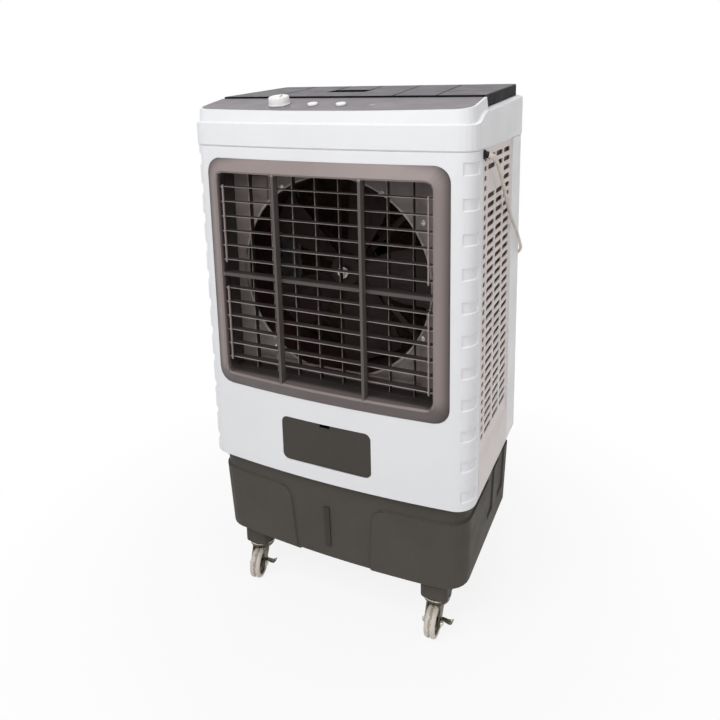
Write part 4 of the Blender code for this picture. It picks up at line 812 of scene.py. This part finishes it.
SLOT_ROWS = 31
SLOT_PITCH = 0.0190
SLOT_MID = 0.448
SLOT_H = 0.0100
SLOT_W = 0.048
SLOT_BEVEL = 0.0008
COLUMN_PITCH = 0.058
COLUMN_MARGIN = 0.004
SIDE_COLUMNS = mm((-104, -84), (-76, -20), (-12, 44), (52, 108))
# Column and row of the side covers' cells without a slot
PLAIN_CELLS = ((2, 28), (2, 29), (3, 28), (3, 29))
SILL_Z = 0.414
SILL_PROFILE = ((-0.0005, BODY_Z + 0.0004), (0.0034, BODY_Z + 0.0004), (0.0036, BODY_Z + 0.0008),
                (0.0036, SILL_Z - 0.0180), (0.0034, SILL_Z - 0.0172), (0.0002, SILL_Z), (-0.0005, SILL_Z))
REAR_CORNER_R = 0.012
REAR_COLUMNS = 8


def slot_outline(u0, u1, z0, z1):
    """Sixteen points of a slot with round ends."""
    r = (z1 - z0) / 2
    zc = (z0 + z1) / 2
    left, right = u0 + r, u1 - r

    def cap(u, *degrees):
        return [(u + r * cos(radians(turn)), zc + r * sin(radians(turn))) for turn in degrees]

    def between(z, *shares):
        return [(left + (right - left) * share, z) for share in shares]

    return (cap(left, 225, 270) + between(z0, 0.25, 0.5, 0.75) + cap(right, 270, 315, 0, 45, 90)
            + between(z1, 0.75, 0.5, 0.25) + cap(left, 90, 135, 180))


def stops(spans):
    """Every step of a list of columns or rows."""
    return sorted({round(low + (high - low) * k / count, 7)
                   for low, high, count, _ in spans for k in range(count + 1)})


def around(low, high, size):
    """Span of a size in the middle of another."""
    middle = (low + high) / 2
    return (middle - size / 2, middle + size / 2)


def slotted(name, columns, plain_cells, place, replaced, material):
    """Closed sheet of cells; columns and rows list (from, to, steps, span of the slot or None)."""
    bm = bmesh.new()
    foot = SLOT_MID - SLOT_PITCH / 2
    levels = [foot + SLOT_PITCH * row for row in range(SLOT_ROWS + 1)]
    rows = [(low, high, 2, around(low, high, SLOT_H)) for low, high in zip(levels, levels[1:])]
    rows = [(BODY_Z, foot, 1, None)] + rows + [(levels[-1], CROWN_Z - GAP, 1, None)]
    found = {}

    def vert(u, z, depth):
        key = (round(u * 1e6), round(z * 1e6), round(depth * 1e6))
        if key not in found:
            found[key] = bm.verts.new(place(u, z, depth))
        return found[key]

    def border(u0, u1, nu, z0, z1, nz):
        points = [(u0 + (u1 - u0) * k / nu, z0) for k in range(nu)]
        points += [(u1, z0 + (z1 - z0) * k / nz) for k in range(nz)]
        points += [(u1 - (u1 - u0) * k / nu, z1) for k in range(nu)]
        return points + [(u0, z1 - (z1 - z0) * k / nz) for k in range(nz)]

    def plain(edge, nu, nz):
        for depth in (0.0, COVER_THICK):
            loop = [vert(u, z, depth) for u, z in edge]
            for k in range(nu):
                right = loop[nu + 1:nu + nz] if k == nu - 1 else []
                left = loop[2 * nu + nz + 1:] if k == 0 else []
                top = [loop[2 * nu + nz - k - 1], loop[2 * nu + nz - k]]
                bm.faces.new([loop[k], loop[k + 1]] + right + top + left)

    def pierced(edge, u0, u1, z0, z1):
        wide = slot_outline(u0 - SLOT_BEVEL, u1 + SLOT_BEVEL, z0 - SLOT_BEVEL, z1 + SLOT_BEVEL)
        true = slot_outline(u0, u1, z0, z1)
        levels = [(edge, 0.0), (wide, 0.0), (true, SLOT_BEVEL), (true, COVER_THICK), (edge, COVER_THICK)]
        loops = [[vert(u, z, depth) for u, z in points] for points, depth in levels]
        for near, far in zip(loops, loops[1:]):
            band(bm, near, far)

    for c, (u0, u1, nu, wide) in enumerate(columns):
        for r, (z0, z1, nz, tall) in enumerate(rows):
            edge = border(u0, u1, nu, z0, z1, nz)
            if wide and tall and (c, r) not in plain_cells:
                pierced(edge, *wide, *tall)
            else:
                plain(edge, nu, nz)
    us, zs = stops(columns), stops(rows)
    walls = [[(u, z) for u in us] for z in (rows[0][0], rows[-1][1])]
    walls += [[(u, z) for z in zs] for u in (columns[0][0], columns[-1][1])]
    for wall in walls:
        for here, there in zip(wall, wall[1:]):
            face = [(*here, 0.0), (*there, 0.0), (*there, COVER_THICK), (*here, COVER_THICK)]
            bm.faces.new([vert(*corner) for corner in face])
    made = piece(name, bm, [material], "cabinet", 40)
    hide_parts(replaced)


def side_cover(side):
    """Side cover with four columns of slots and one plain patch, and the sloped sill at its foot."""
    inner = [(low - COLUMN_MARGIN, high + COLUMN_MARGIN, 6, (low, high)) for low, high in SIDE_COLUMNS]
    columns = [(RETURN_Y + GAP, inner[0][0], 1, None)] + inner + [(inner[-1][1], POST_Y - GAP, 1, None)]

    def place(u, z, depth):
        return Vector((side * (COVER_FACE - depth), u, z))

    name = "right" if side > 0 else "left"
    slotted(f"{name}_cover", columns, PLAIN_CELLS, place, f"{name}_side_panel", COVER)
    bm = bmesh.new()
    skin(bm, [[(side * (COVER_FACE + out), y, z) for out, z in SILL_PROFILE]
              for y in (RETURN_Y + 2 * GAP, POST_Y - 2 * GAP)])
    piece(f"{name}_cover_foot", bm, [COVER], "cabinet")


def rear_cover():
    """Rear cover that wraps both corners, with eight columns of slots."""
    half, radius = HALF_W - BODY_INSET, REAR_CORNER_R
    flat = half - radius
    arc = radius * pi / 2
    tail = REAR - radius - POST_Y
    edges = [-REAR_COLUMNS / 2 * COLUMN_PITCH + COLUMN_PITCH * k for k in range(REAR_COLUMNS + 1)]
    columns = [(-flat - arc - tail, -flat - arc, 1, None), (-flat - arc, -flat, 6, None),
               (-flat, edges[0], 1, None)]
    columns += [(low, high, 6, around(low, high, SLOT_W)) for low, high in zip(edges, edges[1:])]
    columns += [(edges[-1], flat, 1, None), (flat, flat + arc, 6, None),
                (flat + arc, flat + arc + tail, 1, None)]

    def place(u, z, depth):
        side = copysign(1.0, u)
        run = abs(u)
        if run <= flat:
            return Vector((u, REAR - depth, z))
        if run <= flat + arc:
            t = (run - flat) / radius
            reach = radius - depth
            return Vector((side * (flat + reach * sin(t)), REAR - radius + reach * cos(t), z))
        return Vector((side * (half - depth), REAR - radius - (run - flat - arc), z))

    slotted("rear_cover", columns, (), place, "rear_panel", WHITE)


def lead_hook():
    """Moulded hook that the lead hangs over."""
    bm = bmesh.new()
    profile = mm((-1.5, -6), (11.8, -6), (13.8, -5), (14.5, -3), (14.5, 9), (13.9, 10), (12.7, 10),
                 (12.1, 9), (12.1, 1.5), (10.6, 0), (3, 0), (-1.5, 2))
    rings = []
    for x, shrink in mm((-9, 0.8), (-8.2, 0), (8.2, 0), (9, 0.8)):
        ring = []
        for y, z in profile:
            y = y - shrink if y > 0.0125 else y
            z = z + shrink if z < -0.003 else z
            ring.append((HOOK_X + x, REAR + y, HOOK_Z + z))
        rings.append(ring)
    skin(bm, rings)
    piece("lead_hook", bm, [WHITE], "cabinet")


side_cover(-1)
side_cover(1)
rear_cover()
lead_hook()


# Cooling pads

PAD_STEP = 0.0052
FLUTE_PITCH = 0.026
FLUTE_SLANT = 0.7
FLUTE_DEPTH = 0.0045


def cooling_pad(name, across):
    """Corrugated pad: slanting flutes on both faces of the block."""
    low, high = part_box(name)
    depth_axis = 1 - across
    middle = (low[depth_axis] + high[depth_axis]) / 2
    bm = bmesh.new()
    nu = max(24, round((high[across] - low[across]) / PAD_STEP))
    nz = round((high.z - low.z) / PAD_STEP)
    rims = []
    for face, lean in ((low[depth_axis], 1.0), (high[depth_axis], -1.0)):
        grid = []
        for i in range(nu + 1):
            column = []
            for k in range(nz + 1):
                u = low[across] + (high[across] - low[across]) * i / nu
                z = low.z + (high.z - low.z) * k / nz
                wave = 0.5 + 0.5 * sin(2 * pi * (z + lean * FLUTE_SLANT * u) / FLUTE_PITCH)
                point = Vector((0.0, 0.0, z))
                point[across] = u
                point[depth_axis] = face + copysign(GAP + FLUTE_DEPTH * wave, middle - face)
                column.append(bm.verts.new(point))
            grid.append(column)
        for i in range(nu):
            for k in range(nz):
                bm.faces.new((grid[i][k], grid[i + 1][k], grid[i + 1][k + 1], grid[i][k + 1]))
        rims.append([grid[i][0] for i in range(nu)] + [grid[nu][k] for k in range(nz)]
                    + [grid[i][nz] for i in range(nu, 0, -1)] + [grid[0][k] for k in range(nz, 0, -1)])
    band(bm, *rims)
    made = piece(f"{name}_flutes", bm, [PAPER], "cabinet", 60)
    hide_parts(name)


cooling_pad("left_pad", 1)
cooling_pad("right_pad", 1)
cooling_pad("rear_pad", 0)


# Casters

WEB_R = 0.0238
GROOVE_HALF = 0.0024
LEVER_HALF = 0.0010


def wheel_frame(corner):
    """Placement on the axle: X along the axle, Z up."""
    joint = joints[f"{corner}_roll"]
    along = Vector(joint["axis"]).normalized()
    up = Vector((0.0, 0.0, 1.0))
    return at(*joint["pos_m"]) @ axes(along, up.cross(along), up)


def wheel(corner):
    """Twin-tread wheel with a hub; painted shade darkens its sunk web and its tread groove."""
    bm = bmesh.new()
    place = wheel_frame(corner)
    half = mm((3.9, 12.7), (8.6, 12.7), (9.6, 12), (10, 7.6), (12, 6.6), (14, 7), (14.8, 8.2), (16, 8.2),
              (16.8, 6.6), (22.8, 6.4), (24.5, 10), (25.2, 11.5), (26.8, 12), (28.8, 11.9), (30.6, 10.8),
              (31.8, 8.6), (32.5, 5.8), (32.1, 3.4), (31.1, 1.4), (30.6, 0))
    profile = [(radius, -x) for radius, x in half] + [(radius, x) for radius, x in reversed(half[:-1])]
    for face in turned(bm, profile, 56, place @ FACE_SIDE, closed=True):
        spot = place.inverted() @ face.calc_center_median()
        # Painted shade: the sunk web and the tread groove get the darker materials.
        if hypot(spot.y, spot.z) < WEB_R:
            face.material_index = 1
        elif abs(spot.x) < GROOVE_HALF:
            face.material_index = 2
    made = piece(f"{corner}_twin_wheel", bm, [TYRE, RECESS, GROOVE_SHADE], f"{corner}_wheel", 50)
    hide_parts(f"{corner}_wheel")


def fork_fittings(corner):
    """Ball race and crown under the boss, and nuts and washers on the axle."""
    bm = bmesh.new()
    swivel = at(*joints[f"{corner}_swivel"]["pos_m"])
    race = mm((18.5, -1.2), (30, -1.2), (31.6, -2.2), (31.6, -3.8), (30, -4.6), (18.5, -4.6))
    crown = mm((18.5, -4.8), (29.2, -4.8), (30.2, -6), (29.8, -10), (27.6, -15), (26.2, -16), (24.8, -14.6),
               (18.5, -10))
    washer = mm((7.8, -0.4), (7.8, 0.8), (7.3, 1.2), (5, 1.2))
    nut = mm((5.8, 1), (6, 1.6), (6, 4.6), (5.2, 5.2), (3.6, 5.3), (3.4, 6.2), (2.8, 6.6))
    turned(bm, race, 40, swivel, closed=True, index=1)
    turned(bm, crown, 40, swivel, closed=True)
    for side in (-1,) if corner.startswith("front") else (-1, 1):
        face = wheel_frame(corner) @ at(side * FORK_FACE, 0.0, 0.0)
        face = face @ Matrix.Rotation(radians(90 * side), 4, "Y")
        turned(bm, washer, 28, face, index=1)
        turned(bm, nut, 6, face, index=1)
    piece(f"{corner}_race", bm, [STEEL, BRIGHT], f"{corner}_fork")


def brake_lever(corner):
    """Pressed lever: a ring on the axle and a curved pedal with an upturned lip."""
    bm = bmesh.new()
    place = wheel_frame(corner)
    plate = FORK_FACE + GAP
    spine = mm((1, -7, 6), (1, -3, 7.8), (1, 3, 8), (1.2, 8, 6.8), (2.2, 11, 6), (5, 12.2, 5.6),
               (10, 11.4, 5.8), (15, 10, 6.4), (19.5, 9.6, 7.2), (23, 10.4, 7.8), (25.6, 12.2, 7.6),
               (27, 14.4, 6.6))
    rings = []
    for i, (x, z, half) in enumerate(spine):
        before, after = spine[max(i - 1, 0)], spine[min(i + 1, len(spine) - 1)]
        way = Vector((after[0] - before[0], 0.0, after[1] - before[1])).normalized()
        thick = Vector((way.z, 0.0, -way.x))
        ring = []
        for c, s in circle(12):
            squeeze = (abs(c) ** 6 + abs(s) ** 6) ** (-1 / 6)
            spot = Vector((plate + x, half * c * squeeze, z)) + thick * LEVER_HALF * s * squeeze
            ring.append(place @ spot)
        rings.append(ring)
    skin(bm, rings)
    cap = mm((6.2, 0), (6.2, 1), (4.6, 1.2), (4.6, 3), (3.6, 3.8))
    turned(bm, cap, 24, place @ at(plate + 0.0018, 0.0, 0.0) @ FACE_SIDE, index=1)
    made = piece(f"{corner}_pedal", bm, [LEVER, BRIGHT], f"{corner}_brake", 45)
    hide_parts(f"{corner}_brake")


for corner_name in ("front_left", "front_right", "rear_left", "rear_right"):
    wheel(corner_name)
    fork_fittings(corner_name)
brake_lever("front_left")
brake_lever("front_right")


# Controls

BAR_X = 0.095
TICKS = 7
TICK_R = 0.0268
PRINT_H = 0.00035


def panel_place(x):
    """Placement on the sloped panel, Z out of it."""
    axis = -Vector(joints["knob_turn"]["axis"])
    centre = Vector(joints["knob_turn"]["pos_m"])
    side = Vector((1.0, 0.0, 0.0))
    return at(x, centre.y, centre.z) @ axes(side, axis.cross(side), axis)


def speed_knob():
    """Fluted knob with a dished cap and a pointer rib."""
    bm = bmesh.new()
    place = panel_place(KNOB_X)
    profile = mm((7, -10), (7, 0.6), (22.2, 0.6), (22.5, 1.2), (22.5, 3), (21.6, 3.8), (21.4, 15),
                 (20.8, 16.8), (19.6, 17.8), (18, 17.8), (16.5, 16.6), (10, 16.2), (3, 16.1))

    def flute(step, i):
        return 1.0 - (0.022 if step in (6, 7) and i % 4 in (0, 1) else 0.0)

    turned(bm, profile, 96, place, flute=flute)
    rounded_box(bm, (0.0022, 0.0120, 0.0016), place @ at(0.0, 0.0105, 0.0158), 0.0010, 1)
    made = piece("fluted_knob", bm, [KNOB, PANEL], "speed_knob", 28)
    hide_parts("speed_knob")


def push_button(number):
    """Domed button."""
    bm = bmesh.new()
    profile = mm((10.4, -8), (10.5, -7), (10.5, 2.8), (10.1, 3.8), (9.2, 4.3), (7, 4.5), (4, 4.1),
                 (1.2, 3.9))
    turned(bm, profile, 48, panel_place(BUTTON_X[number - 1]))
    made = piece(f"domed_button_{number}", bm, [KNOB], f"push_button_{number}", 40)
    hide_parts(f"push_button_{number}")


def panel_marks():
    """Plain scale marks round the knob, rims round the buttons and one short bar."""
    bm = bmesh.new()
    for tick in range(TICKS):
        turn = Matrix.Rotation(radians(225 - 45 * tick), 4, "Z") @ at(TICK_R, 0.0, 0.0)
        long = 0.0036 if tick % 3 == 0 else 0.0024
        rounded_box(bm, (long, 0.0010, PRINT_H), panel_place(KNOB_X) @ turn, 0.0004)
    rim = mm((11.1, -1), (11.1, 0.6), (11.7, 1), (12.6, 0.6), (13, -0.2), (13, -1))
    for x in BUTTON_X:
        turned(bm, rim, 40, panel_place(x), closed=True, index=1)
    bar = panel_place(BAR_X) @ Matrix.Rotation(radians(28), 4, "Z")
    rounded_box(bm, (0.0110, 0.0014, PRINT_H), bar, 0.0006)
    piece("panel_marks", bm, [PRINT, PANEL], "cabinet")


speed_knob()
push_button(1)
push_button(2)
panel_marks()


# Lid seams

SEAM_FRONT, SEAM_BEHIND, SEAM_REAR = -0.0735, 0.0825, 0.1900
# Where each seam starts, its X there and its X at the rear
SEAMS = ((SEAM_FRONT, -0.165, -0.206), (SEAM_BEHIND, -0.0917, -0.1077), (SEAM_BEHIND, -0.0035, -0.0243),
         (SEAM_FRONT, 0.111, 0.076), (SEAM_FRONT, 0.202, 0.1755))
SEAM_PROFILE = mm((-1.7, -1.2), (1.7, -1.2), (1.7, 0.1), (1.2, 0.5), (-1.2, 0.5), (-1.7, 0.1))
LID_Y, LID_Z, LID_SLOPE = -0.0775, 1.1348, 0.0580


def lid_seams():
    """Narrow dark gaskets in the lid's slanting joints."""
    bm = bmesh.new()
    for start, x0, x1 in SEAMS:
        rings = []
        for y, x in ((start, x0), (SEAM_REAR, x1)):
            top = LID_Z + LID_SLOPE * (y - LID_Y)
            rings.append([(x + off, y, top + rise) for off, rise in SEAM_PROFILE])
        skin(bm, rings)
    piece("lid_seams", bm, [GASKET], "top_lid")


lid_seams()


# Air outlet details

ROWS = [OPEN_HIGH - BLADE_PITCH * row for row in range(1, 14) if row != 7]
GROUP_ROWS = 6
GAUGE_END = 0.010
LINK_HALF, LINK_TIP = 0.0016, 0.0011
LINK_Y, CLIP_Y = BLADE_EDGE_Y - 0.0019, BLADE_EDGE_Y - 0.0036
# X, Z and size of the raised patches; X and Z of the screws
PATCHES = ((-0.176, 0.945, 0.048, 0.054), (-0.214, 0.763, 0.014, 0.150))
SCREWS = ((-0.119, 0.949), (0.110, 0.948), (0.194, 0.658), (-0.196, 0.630), (0.196, 0.895), (-0.150, 0.586))


def outlet_links():
    """Second link bar on the left of each blade group, and the clips that hold both bars to the blades."""
    clip = mm((2.6, -0.6), (2.6, 0.6), (2, 1.3), (1, 1.6))
    for group, start in (("upper", 0), ("lower", GROUP_ROWS)):
        zs = ROWS[start:start + GROUP_ROWS]
        bm = bmesh.new()
        rings = []
        for z, half in ((zs[-1] - 0.005, LINK_TIP), (zs[-1] - 0.0042, LINK_HALF),
                        (zs[0] + 0.0042, LINK_HALF), (zs[0] + 0.005, LINK_TIP)):
            rings.append([(-LINK_X + half * x, LINK_Y + half * y, z)
                          for x, y in ((-1, -1), (1, -1), (1, 1), (-1, 1))])
        skin(bm, rings)
        for z in zs:
            for side in (-1, 1):
                turned(bm, clip, 14, at(side * LINK_X, CLIP_Y, z) @ FACE_FRONT)
        piece(f"{group}_link_clips", bm, [TAUPE], f"{group}_blade_link")


def shroud_fittings():
    """Raised patches, ring lip and screws on the shroud plate."""
    bm = bmesh.new()
    plate = PLATE_Y + 0.0004
    for x, z, sx, sz in PATCHES:
        rounded_box(bm, (sx, sz, 0.0034), at(x, plate, z) @ FACE_FRONT, 0.004)
        rounded_box(bm, (sx - 0.012, sz - 0.012, 0.0012), at(x, plate - 0.0030, z) @ FACE_FRONT, 0.003)
    lip = mm((0.2, -1), (0.2, 2), (1.2, 3.4), (3.4, 3.4), (5, 1.8), (5.2, -1))
    # The lip takes the paler taupe, a painted highlight.
    turned(bm, [(RING_R + out, height) for out, height in lip], 120, at(0.0, plate, MID_Z) @ FACE_FRONT,
           closed=True, index=2)
    washer = mm((6, -0.2), (6, 0.8), (5.4, 1.2), (4, 1.3))
    head = mm((3.8, 1), (3.8, 2.2), (3, 3.1), (1.2, 3.3))
    for x, z in SCREWS:
        turned(bm, washer, 24, at(x, plate, z) @ FACE_FRONT, index=1)
        turned(bm, head, 20, at(x, plate, z) @ FACE_FRONT, index=1)
    piece("shroud_fittings", bm, [TAUPE, BRIGHT, LIP_HIGHLIGHT], "cabinet")


def fan_bolt():
    """Washer and hexagon bolt on the fan's nose."""
    bm = bmesh.new()
    washer = mm((13, -1), (13, 0.6), (12.2, 1.4), (7, 1.4))
    bolt = mm((7.4, 1), (7.6, 1.8), (7.6, 5.8), (6.6, 6.6), (3, 6.8))
    place = at(0.0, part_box("fan")[0].y, MID_Z) @ FACE_FRONT
    turned(bm, washer, 36, place)
    turned(bm, bolt, 6, place)
    piece("fan_bolt", bm, [BRIGHT], "fan")


def gauge_marks():
    """Level marks on the tank's sight strip."""
    bm = bmesh.new()
    low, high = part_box("level_window")
    for tick in range(TICKS):
        z = low.z + GAUGE_END + (high.z - low.z - 2 * GAUGE_END) * tick / (TICKS - 1)
        share = (z - low.z) / (high.z - low.z)
        y = low.y * share + (high.y - 0.003) * (1 - share)
        wide = 0.0072 if tick % 3 == 0 else 0.0042
        rounded_box(bm, (wide, 0.0012, 0.0006), at((low.x + high.x) / 2, y + GAP, z) @ FACE_FRONT, 0.0004)
    piece("gauge_marks", bm, [BLACK], "cabinet")


outlet_links()
shroud_fittings()
fan_bolt()
gauge_marks()


# Floor, world and lamps

FLOOR_Z = -0.0006
FLOOR_RINGS = (0.5, 1.0, 2.0, 4.0, 9.0)


def seen(tree):
    """1 for what the camera, a mirror or glass sees, 0 for the light."""
    path = tree.nodes.new("ShaderNodeLightPath")
    share = path.outputs["Is Camera Ray"]
    for kind in ("Is Glossy Ray", "Is Transmission Ray"):
        larger = tree.nodes.new("ShaderNodeMath")
        larger.operation = "MAXIMUM"
        tree.links.new(share, larger.inputs[0])
        tree.links.new(path.outputs[kind], larger.inputs[1])
        share = larger.outputs[0]
    return share


def blend(tree, share, first, second, output):
    """Mix two shaders into an output."""
    mix = tree.nodes.new("ShaderNodeMixShader")
    tree.links.new(share, mix.inputs["Fac"])
    tree.links.new(first.outputs[0], mix.inputs[1])
    tree.links.new(second.outputs[0], mix.inputs[2])
    tree.links.new(mix.outputs[0], tree.nodes[output].inputs["Surface"])


def backdrop():
    """Pale floor that fades to white away from the object."""
    bm = bmesh.new()
    rings = [[bm.verts.new((radius * c, radius * s, FLOOR_Z)) for c, s in circle(64)]
             for radius in FLOOR_RINGS]
    bm.faces.new(rings[0])
    for near, far in zip(rings, rings[1:]):
        band(bm, near, far)
    floor = stand("floor", mesh_of("floor", bm))
    g = Graph("floor_white")
    g.tree.nodes.remove(g.shader)
    matt = g.add("ShaderNodeBsdfDiffuse")
    matt.inputs["Color"].default_value = (0.86, 0.86, 0.86, 1.0)
    glow = g.add("ShaderNodeEmission")
    glow.inputs["Color"].default_value = (1.0, 1.0, 1.0, 1.0)
    glow.inputs["Strength"].default_value = 1.0
    far = g.remap(g.calc("LENGTH", g.coords(), kind="VectorMath"), 0.35, 1.1, 0.86, 1.0)
    blend(g.tree, g.times(far, seen(g.tree)), matt, glow, "Material Output")
    floor.data.materials.append(g.material)


def surroundings():
    """White surround for the camera, softer for the light."""
    world = bpy.data.worlds.new("world")
    bpy.context.scene.world = world
    world.use_nodes = True
    tree = world.node_tree
    soft = tree.nodes["Background"]
    soft.inputs["Color"].default_value = (0.99, 0.99, 1.0, 1.0)
    soft.inputs["Strength"].default_value = 0.32
    white = tree.nodes.new("ShaderNodeBackground")
    white.inputs["Color"].default_value = (1.0, 1.0, 1.0, 1.0)
    white.inputs["Strength"].default_value = 1.0
    blend(tree, seen(tree), soft, white, "World Output")


def lamp(name, position, target, size, power, colour=(1.0, 1.0, 1.0)):
    """Soft box lamp aimed at a point."""
    data = bpy.data.lights.new(name, "AREA")
    data.shape = "RECTANGLE"
    data.size, data.size_y = size
    data.energy = power
    data.color = colour
    made = stand(name, data)
    way = Vector(target) - Vector(position)
    made.matrix_world = at(*position) @ way.to_track_quat("-Z", "Y").to_matrix().to_4x4()


backdrop()
surroundings()
lamp("key", (-0.2, -2.1, 2.8), (0.0, 0.0, 0.75), (1.8, 1.8), 51.0)
lamp("fill", (2.6, -1.3, 1.6), (0.0, 0.0, 0.6), (1.8, 1.8), 12.0, (1.0, 0.955, 0.94))
lamp("rear", (-1.2, 2.6, 0.55), (0.0, 0.0, 0.6), (1.8, 0.9), 26.0)
lamp("top", (0.2, 0.4, 3.2), (0.0, 0.0, 0.6), (2.0, 2.0), 12.0)
bpy.context.scene.view_settings.view_transform = "Standard"
